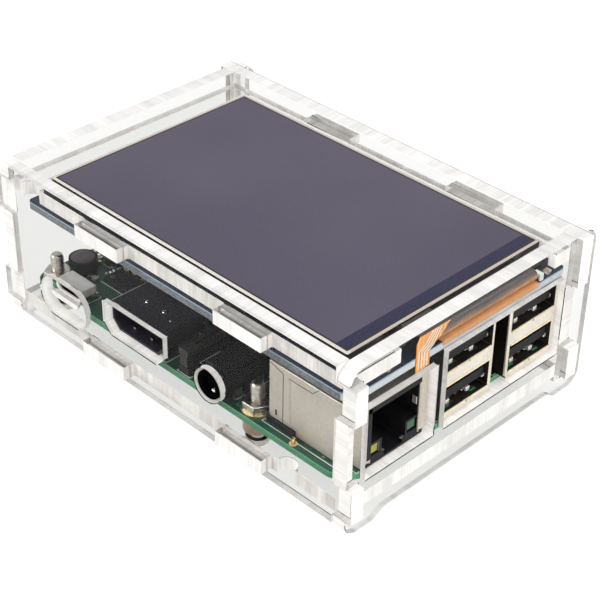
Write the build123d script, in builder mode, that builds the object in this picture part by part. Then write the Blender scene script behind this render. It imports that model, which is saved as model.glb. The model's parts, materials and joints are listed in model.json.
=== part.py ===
from build123d import *
import os

# A credit-card single board computer with a 3.5 inch touch display plugged on its pin header,
# held in a clear case of six slot-and-tab plates. All sizes are in millimetres.

# ---- Driving dimensions ----------------------------------------------------------------------
BOARD_LENGTH = 85.0
BOARD_WIDTH = 56.0
BOARD_THICKNESS = 1.4
PLATE = 3.0
TAB_PROUD = 1.4
FIT = 0.1
SLOT_GAP = 0.25

# Heights, measured from the top face of the main board.
FOOT_BOTTOM = -11.0
END_BOTTOM = -9.5
SIDE_BOTTOM = -9.05
BASE_BOTTOM = -7.6
CASE_TOP = 24.6
FRAME_BOTTOM = 19.1
DISPLAY_BOARD_BOTTOM = 16.2
DISPLAY_BOARD_THICKNESS = 1.6
LCD_BOTTOM = 18.6
GLASS_BOTTOM = 21.2
GLASS_TOP = 22.3

# Plate faces along x (the ends) and y (the sides), from the board's corner.
LEFT_INNER = -3.3
RIGHT_INNER = BOARD_LENGTH + 0.4
FRONT_INNER = -0.25
REAR_INNER = BOARD_WIDTH + 0.3
EAR_END = 62.3

LEFT_OUTER = LEFT_INNER - PLATE
RIGHT_OUTER = RIGHT_INNER + PLATE
FRONT_OUTER = FRONT_INNER - PLATE
REAR_OUTER = REAR_INNER + PLATE
BASE_TOP = BASE_BOTTOM + PLATE
FRAME_TOP = FRAME_BOTTOM + PLATE

# The part's origin is the middle of the bottom of its bounding box.
CENTRE_X = (LEFT_OUTER - TAB_PROUD + RIGHT_OUTER + TAB_PROUD) / 2
CENTRE_Y = (FRONT_OUTER - TAB_PROUD + EAR_END) / 2

# Tabs: spans along x on the flat plates, spans along z on the upright plates.
FLAT_TABS = [(18.8, 31.2), (57.0, 69.0)]
UPPER_TAB = (14.0, 21.6)
LOWER_TAB = (-7.0, 0.0)

# Screws through the board's four corner holes.
HOLE_INSET = 3.5
HOLE_SPACING_X = 58.0
HOLE_SPACING_Y = 49.0
HOLE_RADIUS = 1.35
THREAD_RADIUS = 1.2
SCREW_TIP = 5.6
HEAD_RADIUS = 2.3
HEAD_HEIGHT = 1.5
NUT_ACROSS_FLATS = 5.0
NUT_HEIGHT = 1.8
SPACER_RADIUS = 2.75

# Sockets.
USB_CENTRES = [29.0, 47.0]
USB_WIDTH, USB_LENGTH, USB_HEIGHT, USB_FRONT = 13.1, 17.5, 16.0, 87.1
USB_PORTS = [(1.5, 7.3), (10.5, 15.5)]
USB_PORT_WIDTH = 12.3
JACK_X, JACK_Y, JACK_TOP = (65.7, 87.0), (2.25, 18.25), 13.5
VIDEO_X, VIDEO_Y, VIDEO_TOP = (24.5, 39.5), (-1.2, 10.3), 6.2
POWER_X, POWER_Y, POWER_TOP = (6.8, 14.4), (-1.2, 4.6), 2.8
AUDIO_CENTRE, AUDIO_AXIS_HEIGHT, AUDIO_RADIUS = 53.5, 2.9, 1.8
HEADER_X, HEADER_Y, PITCH = 32.5, 52.5, 2.54
SHEET = 0.35

# The display.
SCREEN_X, SCREEN_Y = (2.6, 82.1), (2.6, 53.7)
WINDOW_X, WINDOW_Y = (2.2, 83.6), (2.25, 54.05)

os.makedirs("parts", exist_ok=True)


# ---- Helpers: every place is given from the board's front left corner, at its top face -------
def level(z):
    """A horizontal plane at a height above the board, its origin at the board's corner."""
    return Plane(origin=(-CENTRE_X, -CENTRE_Y, z - FOOT_BOTTOM))


def facing_front(y):
    """An upright plane that looks along -Y; its sketches are drawn in x and z."""
    return Plane(
        origin=(-CENTRE_X, y - CENTRE_Y, -FOOT_BOTTOM), x_dir=(1, 0, 0), z_dir=(0, -1, 0)
    )


def facing_end(x):
    """An upright plane that looks along +X; its sketches are drawn in y and z."""
    return Plane(
        origin=(x - CENTRE_X, -CENTRE_Y, -FOOT_BOTTOM), x_dir=(0, 1, 0), z_dir=(1, 0, 0)
    )


def rectangle(across, up, mode=Mode.ADD):
    """A rectangle in a sketch, from its two spans."""
    with Locations(((across[0] + across[1]) / 2, (up[0] + up[1]) / 2)):
        return Rectangle(across[1] - across[0], up[1] - up[0], mode=mode)


def disc(x, y, radius, mode=Mode.ADD):
    """A circle in a sketch."""
    with Locations((x, y)):
        return Circle(radius, mode=mode)


def cuboid(x, y, z, mode=Mode.ADD):
    """A block in a part, from its three spans."""
    corner = (x[0] - CENTRE_X, y[0] - CENTRE_Y, z[0] - FOOT_BOTTOM)
    with Locations(corner):
        return Box(x[1] - x[0], y[1] - y[0], z[1] - z[0], align=(Align.MIN,) * 3, mode=mode)


def upright(x, y, z, radius, mode=Mode.ADD):
    """A vertical cylinder in a part, from its axis, its height span and its radius."""
    with Locations((x - CENTRE_X, y - CENTRE_Y, z[0] - FOOT_BOTTOM)):
        return Cylinder(
            radius, z[1] - z[0], align=(Align.CENTER, Align.CENTER, Align.MIN), mode=mode
        )


def about(centre, width):
    """The span of a given width about a centre."""
    return (centre - width / 2, centre + width / 2)


def grown(span, margin):
    """A span made longer by a margin at both ends."""
    return (span[0] - margin, span[1] + margin)


def keep(sub_part, name):
    """Labels a finished piece and writes its file."""
    sub_part.part.label = name
    export_step(sub_part.part, f"parts/{name}.step")


SCREW_PLACES = [
    (HOLE_INSET + i * HOLE_SPACING_X, HOLE_INSET + j * HOLE_SPACING_Y)
    for i in range(2)
    for j in range(2)
]

# ---- The case ----------------------------------------------------------------------------------
BETWEEN_ENDS = (LEFT_INNER + FIT, RIGHT_INNER - FIT)
NOTCH_RADIUS = 2.2

with BuildPart() as bottom_plate:
    with BuildSketch(level(BASE_BOTTOM)):
        rectangle(BETWEEN_ENDS, (FRONT_INNER, REAR_INNER))
        for tab in FLAT_TABS:
            rectangle(tab, (FRONT_OUTER - TAB_PROUD, REAR_OUTER + TAB_PROUD))
        disc(72.6, FRONT_INNER, NOTCH_RADIUS, mode=Mode.SUBTRACT)
        for x, y in SCREW_PLACES:
            disc(x, y, THREAD_RADIUS + FIT, mode=Mode.SUBTRACT)
    extrude(amount=PLATE)
keep(bottom_plate, "bottom_plate")

with BuildPart() as top_frame:
    with BuildSketch(level(FRAME_BOTTOM)):
        rectangle(BETWEEN_ENDS, (FRONT_INNER, REAR_INNER))
        for tab in FLAT_TABS:
            rectangle(tab, (FRONT_OUTER - TAB_PROUD, REAR_OUTER + TAB_PROUD))
        rectangle(WINDOW_X, WINDOW_Y, mode=Mode.SUBTRACT)
        # The bar on the socket side is cut away where the display's flexible cable bulges out.
        rectangle((WINDOW_X[0] + 9, RIGHT_OUTER), (10.6, 52.0), mode=Mode.SUBTRACT)
        disc(2.4, FRONT_INNER, NOTCH_RADIUS, mode=Mode.SUBTRACT)
    extrude(amount=PLATE)
keep(top_frame, "top_frame")

POWER_OPENING_X, POWER_OPENING_Z, POWER_OPENING_RADIUS = (4.2, 18.4), (-4.4, 4.2), 3.9
VIDEO_OPENING_X, VIDEO_OPENING_Z, VIDEO_BEVEL = (24.1, 41.4), (0.0, 6.9), 2.1
AUDIO_OPENING_RADIUS = 3.5

with BuildPart() as front_plate:
    with BuildSketch(facing_front(FRONT_OUTER)):
        rectangle(BETWEEN_ENDS, (SIDE_BOTTOM, CASE_TOP))
        for tab in (UPPER_TAB, LOWER_TAB):
            rectangle((LEFT_OUTER - TAB_PROUD, RIGHT_OUTER + TAB_PROUD), tab)
        for tab in FLAT_TABS:
            rectangle(tab, (FRAME_BOTTOM, FRAME_TOP), mode=Mode.SUBTRACT)
            rectangle(tab, (BASE_BOTTOM, BASE_TOP), mode=Mode.SUBTRACT)
        disc(AUDIO_CENTRE, AUDIO_AXIS_HEIGHT, AUDIO_OPENING_RADIUS, mode=Mode.SUBTRACT)
    extrude(amount=-PLATE)
    with BuildSketch(facing_front(FRONT_OUTER)):
        opening = rectangle(POWER_OPENING_X, POWER_OPENING_Z)
        fillet(opening.vertices(), POWER_OPENING_RADIUS)
    extrude(amount=-PLATE, mode=Mode.SUBTRACT)
    with BuildSketch(facing_front(FRONT_OUTER)):
        opening = rectangle(VIDEO_OPENING_X, VIDEO_OPENING_Z)
        chamfer(opening.vertices().sort_by(Axis.Y)[:2], VIDEO_BEVEL)
    extrude(amount=-PLATE, mode=Mode.SUBTRACT)
keep(front_plate, "front_plate")

with BuildPart() as rear_plate:
    with BuildSketch(facing_front(REAR_INNER)):
        rectangle(BETWEEN_ENDS, (SIDE_BOTTOM, CASE_TOP))
        rectangle((LEFT_OUTER - TAB_PROUD, RIGHT_OUTER + TAB_PROUD), (UPPER_TAB[0], CASE_TOP))
        rectangle((LEFT_OUTER - TAB_PROUD, RIGHT_OUTER + TAB_PROUD), LOWER_TAB)
        for tab in FLAT_TABS:
            rectangle(tab, (FRAME_BOTTOM, FRAME_TOP), mode=Mode.SUBTRACT)
            rectangle(tab, (BASE_BOTTOM, BASE_TOP), mode=Mode.SUBTRACT)
    extrude(amount=-PLATE)
keep(rear_plate, "rear_plate")

# Both end plates have one outline: a straight top and bottom, a foot under each corner and an ear
# behind the rear plate.
FOOT_WIDTH = 7.4
FOOT_SLOPE = 2.4
CORNER_RADIUS = [3.2, 2.6, 2.6, 2.6, 2.6, 3.2, 2.9, 3.4]
JACK_WINDOW = ((1.4, 19.0), (-0.5, 15.0))
USB_WINDOW = ((21.6, 54.3), (-0.5, 16.5))
CARD_WINDOW = ((20.4, 35.6), (-5.0, -0.2))


END_CORNERS = [
    (FRONT_OUTER, FOOT_BOTTOM),
    (FRONT_OUTER + FOOT_WIDTH, FOOT_BOTTOM),
    (FRONT_OUTER + FOOT_WIDTH + FOOT_SLOPE, END_BOTTOM),
    (EAR_END - FOOT_WIDTH - FOOT_SLOPE, END_BOTTOM),
    (EAR_END - FOOT_WIDTH, FOOT_BOTTOM),
    (EAR_END, FOOT_BOTTOM),
    (EAR_END, CASE_TOP),
    (FRONT_OUTER, CASE_TOP),
]
END_PLATES = {
    "left_end_plate": (LEFT_OUTER, [CARD_WINDOW]),
    "right_end_plate": (RIGHT_INNER, [JACK_WINDOW, USB_WINDOW]),
}


def end_plate_slots():
    """The slots for the side plates' tabs: open at the front edge and at the rear's top."""
    half_gap = SLOT_GAP / 2
    for tab in (UPPER_TAB, LOWER_TAB):
        across = (FRONT_OUTER - 1, FRONT_INNER + half_gap)
        rectangle(across, grown(tab, half_gap), mode=Mode.SUBTRACT)
    across = grown((REAR_INNER, REAR_OUTER), half_gap)
    rectangle(across, (UPPER_TAB[0] - half_gap, CASE_TOP + 1), mode=Mode.SUBTRACT)
    rectangle(across, grown(LOWER_TAB, half_gap), mode=Mode.SUBTRACT)


for name, (face, windows) in END_PLATES.items():
    with BuildPart() as end_plate:
        with BuildSketch(facing_end(face)):
            with BuildLine():
                FilletPolyline(*END_CORNERS, radius=CORNER_RADIUS, close=True)
            make_face()
            end_plate_slots()
            for window in windows:
                rectangle(*window, mode=Mode.SUBTRACT)
        extrude(amount=PLATE)
    keep(end_plate, name)

# ---- Screws, spacers and nuts --------------------------------------------------------------------
with BuildPart() as board_screws:
    for x, y in SCREW_PLACES:
        upright(x, y, (BASE_BOTTOM - HEAD_HEIGHT, BASE_BOTTOM), HEAD_RADIUS)
        upright(x, y, (BASE_BOTTOM, SCREW_TIP), THREAD_RADIUS)
    rims = board_screws.edges().filter_by(GeomType.CIRCLE)
    chamfer(rims.group_by(Axis.Z)[0] + rims.group_by(Axis.Z)[-1], 0.3)
    with BuildSketch(level(BASE_BOTTOM - HEAD_HEIGHT)):
        for x, y in SCREW_PLACES:
            rectangle(about(x, 2.4), about(y, 0.6))
            rectangle(about(x, 0.6), about(y, 2.4))
    extrude(amount=0.8, mode=Mode.SUBTRACT)
keep(board_screws, "board_screws")

with BuildPart() as spacers:
    with BuildSketch(level(BASE_TOP)):
        for x, y in SCREW_PLACES:
            disc(x, y, SPACER_RADIUS)
            disc(x, y, THREAD_RADIUS + FIT, mode=Mode.SUBTRACT)
    extrude(amount=-BOARD_THICKNESS - BASE_TOP)
keep(spacers, "spacers")

with BuildPart() as board_nuts:
    with BuildSketch(level(0)):
        for x, y in SCREW_PLACES:
            with Locations((x, y)):
                RegularPolygon(NUT_ACROSS_FLATS / 2, 6, major_radius=False)
            disc(x, y, THREAD_RADIUS, mode=Mode.SUBTRACT)
    extrude(amount=NUT_HEIGHT)
keep(board_nuts, "board_nuts")

# ---- The main board and the chips soldered on it -------------------------------------------------
HEADER_COLUMNS, HEADER_ROWS = 20, 2
PIN_PLACES = [
    (HEADER_X + (i - (HEADER_COLUMNS - 1) / 2) * PITCH, HEADER_Y + (j - 0.5) * PITCH)
    for i in range(HEADER_COLUMNS)
    for j in range(HEADER_ROWS)
]
PIN_SIDE, PIN_TAIL, PIN_TIP = 0.64, -3.0, 8.6

with BuildPart() as main_board:
    with BuildSketch(level(0)):
        board = rectangle((0, BOARD_LENGTH), (0, BOARD_WIDTH))
        fillet(board.vertices(), 3.0)
        for x, y in SCREW_PLACES:
            disc(x, y, HOLE_RADIUS, mode=Mode.SUBTRACT)
        for x, y in PIN_PLACES:
            disc(x, y, PIN_SIDE * 0.75, mode=Mode.SUBTRACT)
    extrude(amount=-BOARD_THICKNESS)
keep(main_board, "main_board")


def chip_group(name, places, bevel=0.15):
    """A node of chips, each from its centre, its x and y sizes, its foot and its height."""
    with BuildPart() as group:
        for x, y, length, width, foot, height in places:
            cuboid(about(x, length), about(y, width), (foot, foot + height))
        if bevel:
            tops = group.faces().filter_by(Axis.Z).filter_by(lambda f: f.normal_at().Z > 0)
            chamfer(tops.edges(), bevel)
    keep(group, name)


UNDER = -BOARD_THICKNESS
chip_group("processor", [(25.8, 32.0, 14.0, 14.0, 0, 1.25)])
chip_group("usb_network_chip", [(57.5, 33.0, 9.0, 9.0, 0, 0.95)])
chip_group("memory_chip", [(26.0, 33.0, 14.0, 11.5, UNDER - 1.0, 1.0)])
chip_group(
    "board_chips",
    [
        (14.6, 11.4, 7.2, 4.6, 0, 1.1),
        (19.8, 17.2, 3.2, 3.2, 0, 0.9),
        (7.6, 14.6, 3.4, 2.4, 0, 1.0),
        (52.5, 17.8, 4.8, 4.0, 0, 1.0),
        (49.6, 42.6, 5.0, 5.0, 0, 0.9),
        (38.2, 22.0, 3.0, 3.0, 0, 0.9),
        (12.4, 42.6, 4.2, 4.2, 0, 0.9),
    ],
)
chip_group(
    "crystals",
    [(50.4, 27.4, 3.2, 2.5, 0, 0.8), (36.8, 40.6, 3.2, 2.5, 0, 0.8), (62.8, 24.6, 3.2, 2.5, 0, 0.8)],
    bevel=0.1,
)
chip_group("wireless_antenna", [(2.6, 45.6, 2.0, 5.2, 0, 1.0)])
chip_group("status_leds", [(1.7, 11.6, 0.8, 1.6, 0, 0.7), (1.7, 13.9, 0.8, 1.6, 0, 0.7)], bevel=0.1)

# Chip capacitors and resistors: a row of places beside each chip, kept clear of its edges.
CAPACITOR = (1.6, 0.8, 0.7)
CAPACITOR_PLACES = (
    [(3.9, 13.6), (4.9, 12.5), (9.6, 16.9), (11.2, 14.8), (13.6, 15.0), (16.2, 15.2), (9.2, 8.2)]
    + [(17.4 + 2.3 * i, 22.6) for i in range(7)]
    + [(19.6 + 2.3 * i, 41.4) for i in range(6)]
    + [(53.4 + 2.4 * i, 39.8) for i in range(4)]
    + [(59.0 + 2.2 * i, 20.6) for i in range(3)]
    + [(20.6, 3.0), (21.0, 6.0), (21.0, 9.0), (47.9, 17.0), (42.0, 26.6), (45.0, 28.4), (42.6, 44.6)]
)
with BuildPart() as capacitors:
    for x, y in CAPACITOR_PLACES:
        cuboid(about(x, CAPACITOR[0]), about(y, CAPACITOR[1]), (0, CAPACITOR[2]))
keep(capacitors, "capacitors")

with BuildPart() as power_inductors:
    upright(4.6, 9.0, (0.3, 2.9), 2.9)
    upright(4.6, 9.0, (0, 0.3), 2.3)
    cuboid((36.6, 40.4), (14.2, 18.0), (0, 1.8))
    upright(38.5, 16.1, (1.8, 2.0), 1.4)
keep(power_inductors, "power_inductors")

# ---- Power, video and audio sockets on the front edge --------------------------------------------


def bevelled(across, up, bevel, inset=0.0, mode=Mode.ADD):
    """A socket's outline: a rectangle with its two lower corners cut off."""
    left, right = across[0] + inset, across[1] - inset
    low, high = up[0] + inset, up[1] - inset
    return Polygon(
        (left, high),
        (left, low + bevel),
        (left + bevel, low),
        (right - bevel, low),
        (right, low + bevel),
        (right, high),
        align=None,
        mode=mode,
    )


def front_shell(name, across, depth, up, bevel, lip):
    """A pressed sheet socket shell, open at the front, with a lip flared round its mouth."""
    with BuildPart() as shell:
        with BuildSketch(facing_front(depth[0])):
            bevelled(across, up, bevel)
        extrude(amount=depth[0] - depth[1])
        with BuildSketch(facing_front(depth[0])):
            bevelled(across, up, bevel, inset=-lip)
        extrude(amount=-0.45)
        with BuildSketch(facing_front(depth[0])):
            bevelled(across, up, bevel, inset=SHEET)
        extrude(amount=depth[0] - depth[1] + SHEET, mode=Mode.SUBTRACT)
    keep(shell, name)


POWER_Z = (0.25, POWER_TOP)
front_shell("power_socket_shell", POWER_X, POWER_Y, POWER_Z, 0.9, lip=0.2)

with BuildPart() as power_socket_tongue:
    cuboid((8.6, 12.6), (-0.6, 2.6), (1.35, 1.95))
    with BuildSketch(facing_front(2.6)):
        bevelled(POWER_X, POWER_Z, 0.9, inset=SHEET + 0.05)
    extrude(amount=2.6 - POWER_Y[1] + SHEET)
keep(power_socket_tongue, "power_socket_tongue")

VIDEO_Z = (0.3, VIDEO_TOP)
VIDEO_SHELL_BEVEL = 1.9
front_shell("video_socket_shell", VIDEO_X, VIDEO_Y, VIDEO_Z, VIDEO_SHELL_BEVEL, lip=0.1)

with BuildPart() as video_socket_tongue:
    cuboid((26.2, 37.8), (0.2, 6.0), (3.1, 4.2))
    with BuildSketch(facing_front(6.0)):
        bevelled(VIDEO_X, VIDEO_Z, VIDEO_SHELL_BEVEL, inset=SHEET + 0.05)
    extrude(amount=6.0 - VIDEO_Y[1] + SHEET)
keep(video_socket_tongue, "video_socket_tongue")

with BuildPart() as video_socket_contacts:
    for i in range(10):
        cuboid(about(27.5 + i, 0.4), (0.8, 5.9), (4.2, 4.3))
        cuboid(about(27.0 + i, 0.4), (0.8, 5.9), (3.0, 3.1))
keep(video_socket_contacts, "video_socket_contacts")

AUDIO_BODY_X, AUDIO_BODY_Y, AUDIO_TOP, AUDIO_BARREL = (50.4, 56.6), (1.2, 13.4), 5.9, 2.85
AUDIO_FRONT, AUDIO_BORE_END = -1.5, 12.4

with BuildPart() as audio_socket_body:
    cuboid(AUDIO_BODY_X, AUDIO_BODY_Y, (0, AUDIO_TOP))
    chamfer(audio_socket_body.edges().filter_by(Axis.Y).group_by(Axis.Z)[-1], 0.4)
    with BuildSketch(facing_front(AUDIO_FRONT)):
        disc(AUDIO_CENTRE, AUDIO_AXIS_HEIGHT, AUDIO_BARREL)
    extrude(amount=AUDIO_FRONT - AUDIO_BODY_Y[0])
    with BuildSketch(facing_front(AUDIO_FRONT)):
        disc(AUDIO_CENTRE, AUDIO_AXIS_HEIGHT, AUDIO_RADIUS)
    extrude(amount=AUDIO_FRONT - AUDIO_BORE_END, mode=Mode.SUBTRACT)
keep(audio_socket_body, "audio_socket_body")

with BuildPart() as audio_socket_tabs:
    for y in (3.4, 8.6, 11.6):
        for x in (AUDIO_BODY_X[0] - 0.3, AUDIO_BODY_X[1]):
            cuboid((x, x + 0.3), about(y, 1.4), (0, 1.6))
keep(audio_socket_tabs, "audio_socket_tabs")

# ---- Camera and display ribbon connectors with lifting latches ------------------------------------
RIBBON_CONNECTORS = {"camera_connector": (45.0, 11.6), "display_connector": (3.4, 28.0)}
RIBBON_LENGTH, RIBBON_WIDTH, RIBBON_HEIGHT, RIBBON_SLOT = 22.4, 2.6, 4.2, 16.6
LATCH_HEIGHT, LATCH_LEG, LATCH_CLEAR = 1.2, 1.2, 0.15

for name, (x, y) in RIBBON_CONNECTORS.items():
    with BuildPart() as ribbon_base:
        cuboid(about(x, RIBBON_WIDTH), about(y, RIBBON_LENGTH - 2 * LATCH_LEG), (0, RIBBON_HEIGHT))
        cuboid(about(x, RIBBON_WIDTH), about(y, RIBBON_LENGTH), (0, 1.6))
        cuboid(about(x, 0.9), about(y, RIBBON_SLOT), (0.6, RIBBON_HEIGHT), mode=Mode.SUBTRACT)
    keep(ribbon_base, name)

    with BuildPart() as ribbon_latch:
        bar_foot = RIBBON_HEIGHT + LATCH_CLEAR
        cuboid(
            about(x, RIBBON_WIDTH), about(y, RIBBON_LENGTH), (bar_foot, bar_foot + LATCH_HEIGHT)
        )
        for end in (-1, 1):
            leg_centre = y + end * (RIBBON_LENGTH - LATCH_LEG + LATCH_CLEAR) / 2
            leg_width = LATCH_LEG - LATCH_CLEAR
            cuboid(about(x, RIBBON_WIDTH - 0.6), about(leg_centre, leg_width), (1.8, bar_foot))
        cuboid(
            about(x, 0.9), about(y, RIBBON_SLOT), (bar_foot, bar_foot + LATCH_HEIGHT),
            mode=Mode.SUBTRACT,
        )
    keep(ribbon_latch, f"{name}_latch")

# ---- Network socket --------------------------------------------------------------------------------
SHIELD_BOTTOM = 1.3
JACK_MOUTH = (4.0, 16.6)
PLUG_SPACE = ((4.4, 16.2), (4.8, 11.8))
LATCH_CHANNEL = ((7.3, 13.3), (1.5, 4.8))
LATCH_NOTCH = ((7.9, 12.7), (0.5, 1.5))
LED_POCKETS = {"network_led_left": (4.2, 6.8), "network_led_right": (13.8, 16.4)}
LED_HEIGHTS = (1.9, 4.3)
PLUG_DEPTH = 14.0

with BuildPart() as network_socket_shield:
    cuboid(JACK_X, JACK_Y, (SHIELD_BOTTOM, JACK_TOP))
    cuboid(
        (JACK_X[0] + SHEET, JACK_X[1] - SHEET), grown(JACK_Y, -SHEET), (0, JACK_TOP - SHEET),
        mode=Mode.SUBTRACT,
    )
    cuboid((JACK_X[1] - 2 * SHEET, JACK_X[1]), JACK_MOUTH, (0, 12.1), mode=Mode.SUBTRACT)
keep(network_socket_shield, "network_socket_shield")

with BuildPart() as network_socket_insert:
    front = JACK_X[1] - SHEET - 0.05
    cuboid((JACK_X[0] + 0.4, front), grown(JACK_Y, -0.4), (0, JACK_TOP - 0.4))
    for across, up in (PLUG_SPACE, LATCH_CHANNEL, LATCH_NOTCH):
        cuboid((front - PLUG_DEPTH, front), across, up, mode=Mode.SUBTRACT)
    for pocket in LED_POCKETS.values():
        cuboid((front - 3.6, front), pocket, LED_HEIGHTS, mode=Mode.SUBTRACT)
keep(network_socket_insert, "network_socket_insert")

for name, pocket in LED_POCKETS.items():
    with BuildPart() as led:
        cuboid((front - 3.5, front - 0.3), grown(pocket, -0.1), grown(LED_HEIGHTS, -0.1))
        chamfer(led.faces().sort_by(Axis.X)[-1].edges(), 0.25)
    keep(led, name)

with BuildPart() as network_socket_contacts:
    for i in range(8):
        y = sum(JACK_Y) / 2 + (i - 3.5) * 1.02
        cuboid((front - 11, front - 2.5), about(y, 0.4), (10.2, 10.5))
        cuboid((front - PLUG_DEPTH, front - 11), about(y, 0.4), (10.2, 11.75))
keep(network_socket_contacts, "network_socket_contacts")

# ---- Two stacks of two USB sockets -----------------------------------------------------------------
USB_BACK = USB_FRONT - USB_LENGTH
USB_FLANGE_WIDTH = 13.9
TONGUE_LENGTH, TONGUE_WIDTH, TONGUE_THICKNESS = 8.6, 11.1, 1.9
BLOCK_FRONT = USB_FRONT - 9.4

for number, centre in enumerate(USB_CENTRES, start=1):
    with BuildPart() as usb_shell:
        cuboid((USB_BACK, USB_FRONT), about(centre, USB_WIDTH), (0, USB_HEIGHT))
        cuboid((USB_FRONT - 0.5, USB_FRONT), about(centre, USB_FLANGE_WIDTH), (0.7, USB_HEIGHT))
        for port in USB_PORTS:
            inside = about(centre, USB_PORT_WIDTH)
            cuboid((USB_BACK + SHEET, USB_FRONT), inside, port, mode=Mode.SUBTRACT)
            for side in (-1, 1):
                spring = about(centre + side * 3.4, 1.7)
                along = (USB_FRONT - 6.5, USB_FRONT - 3.5)
                cuboid(along, spring, (port[1] - 0.4, port[1]))
                cuboid(along, spring, (port[0], port[0] + 0.4))
    keep(usb_shell, f"usb_shell_{number}")

    with BuildPart() as usb_insulator:
        for port in USB_PORTS:
            inside = about(centre, USB_PORT_WIDTH - 0.1)
            cuboid((USB_BACK + SHEET + 0.05, BLOCK_FRONT), inside, grown(port, -0.05))
            middle = about(sum(port) / 2 + 0.3, TONGUE_THICKNESS)
            along = (BLOCK_FRONT, BLOCK_FRONT + TONGUE_LENGTH)
            cuboid(along, about(centre, TONGUE_WIDTH), middle)
    keep(usb_insulator, f"usb_insulator_{number}")

    with BuildPart() as usb_contacts:
        for port in USB_PORTS:
            underside = sum(port) / 2 + 0.3 - TONGUE_THICKNESS / 2
            for offset in (-3.5, -1.0, 1.0, 3.5):
                along = (BLOCK_FRONT, BLOCK_FRONT + TONGUE_LENGTH - 1.2)
                cuboid(along, about(centre + offset, 1.0), (underside - 0.15, underside))
    keep(usb_contacts, f"usb_contacts_{number}")

# ---- Pin header, the card slot under the board and its card -----------------------------------------
HEADER_BASE_HEIGHT = 2.5

with BuildPart() as header_base:
    with BuildSketch(level(0)):
        body = rectangle(about(HEADER_X, HEADER_COLUMNS * PITCH), about(HEADER_Y, 2 * PITCH))
        chamfer(body.vertices(), 0.4)
        for x, y in PIN_PLACES:
            rectangle(about(x, PIN_SIDE), about(y, PIN_SIDE), mode=Mode.SUBTRACT)
    extrude(amount=HEADER_BASE_HEIGHT)
keep(header_base, "header_base")

with BuildPart() as header_pins:
    for x, y in PIN_PLACES:
        cuboid(about(x, PIN_SIDE), about(y, PIN_SIDE), (PIN_TAIL, PIN_TIP))
    pin_ends = header_pins.faces().filter_by(Axis.Z)
    chamfer(pin_ends.edges(), 0.15)
keep(header_pins, "header_pins")

CARD_CENTRE, CARD_WIDTH, CARD_LENGTH, CARD_PROUD = 28.0, 11.0, 15.0, 2.3
CARD_Z = (UNDER - 1.0, UNDER - 0.3)
SLOT_X, SLOT_Z = (1.2, 14.4), (UNDER - 1.45, UNDER)

with BuildPart() as card_slot:
    cuboid(SLOT_X, about(CARD_CENTRE, CARD_WIDTH + 1.4), SLOT_Z)
    cuboid(
        (SLOT_X[0], SLOT_X[1] - SHEET), about(CARD_CENTRE, CARD_WIDTH + 0.4), grown(CARD_Z, 0.15),
        mode=Mode.SUBTRACT,
    )
keep(card_slot, "card_slot")

with BuildPart() as memory_card:
    with BuildSketch(level(CARD_Z[0])):
        outline = rectangle((-CARD_PROUD, CARD_LENGTH - CARD_PROUD), about(CARD_CENTRE, CARD_WIDTH))
        fillet(outline.vertices(), 0.8)
    extrude(amount=CARD_Z[1] - CARD_Z[0])
keep(memory_card, "memory_card")

# ---- The display board, its socket and the screen ----------------------------------------------------
DISPLAY_BOARD_TOP = DISPLAY_BOARD_BOTTOM + DISPLAY_BOARD_THICKNESS
SOCKET_COLUMNS = 13
SOCKET_X = PIN_PLACES[0][0] + (SOCKET_COLUMNS - 1) * PITCH / 2
SOCKET_BOTTOM = HEADER_BASE_HEIGHT + 0.1

with BuildPart() as display_socket:
    with BuildSketch(level(SOCKET_BOTTOM)):
        rectangle(about(SOCKET_X, SOCKET_COLUMNS * PITCH + 0.2), about(HEADER_Y, 2 * PITCH))
        for x, y in PIN_PLACES[: 2 * SOCKET_COLUMNS]:
            rectangle(about(x, PIN_SIDE + 0.2), about(y, PIN_SIDE + 0.2), mode=Mode.SUBTRACT)
    extrude(amount=PIN_TIP + 0.4 - SOCKET_BOTTOM)
    along = about(SOCKET_X, SOCKET_COLUMNS * PITCH + 0.2)
    cuboid(along, about(HEADER_Y, 2 * PITCH), (PIN_TIP + 0.4, DISPLAY_BOARD_BOTTOM))
keep(display_socket, "display_socket")

with BuildPart() as display_board:
    with BuildSketch(level(DISPLAY_BOARD_BOTTOM)):
        board = rectangle((0, BOARD_LENGTH), (0.2, BOARD_WIDTH - 0.2))
        fillet(board.vertices(), 1.0)
    extrude(amount=DISPLAY_BOARD_THICKNESS)
keep(display_board, "display_board")

CHIP_FOOT = DISPLAY_BOARD_BOTTOM - 1.2
chip_group(
    "display_board_chips",
    [
        (15.0, 30.0, 5.0, 6.2, CHIP_FOOT, 1.2),
        (27.0, 30.0, 5.0, 6.2, CHIP_FOOT, 1.2),
        (39.0, 30.0, 5.0, 6.2, CHIP_FOOT, 1.2),
        (52.0, 22.0, 5.0, 5.0, CHIP_FOOT, 1.2),
    ],
    bevel=0,
)
chip_group(
    "display_board_parts",
    [
        (83.9, 49.2, 1.2, 1.6, DISPLAY_BOARD_TOP, 0.9),
        (83.9, 51.4, 1.2, 1.6, DISPLAY_BOARD_TOP, 0.7),
        (83.9, 8.6, 1.2, 1.6, DISPLAY_BOARD_TOP, 0.6),
    ],
    bevel=0.1,
)

with BuildPart() as mounting_tape:
    for across in ((3.4, 7.4), (49.0, 53.0)):
        cuboid((5.0, 79.0), across, (DISPLAY_BOARD_TOP, LCD_BOTTOM))
keep(mounting_tape, "mounting_tape")

with BuildPart() as lcd_panel:
    cuboid(SCREEN_X, SCREEN_Y, (LCD_BOTTOM, GLASS_BOTTOM))
    fillet(lcd_panel.edges().filter_by(Axis.Z), 0.5)
keep(lcd_panel, "lcd_panel")

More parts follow.
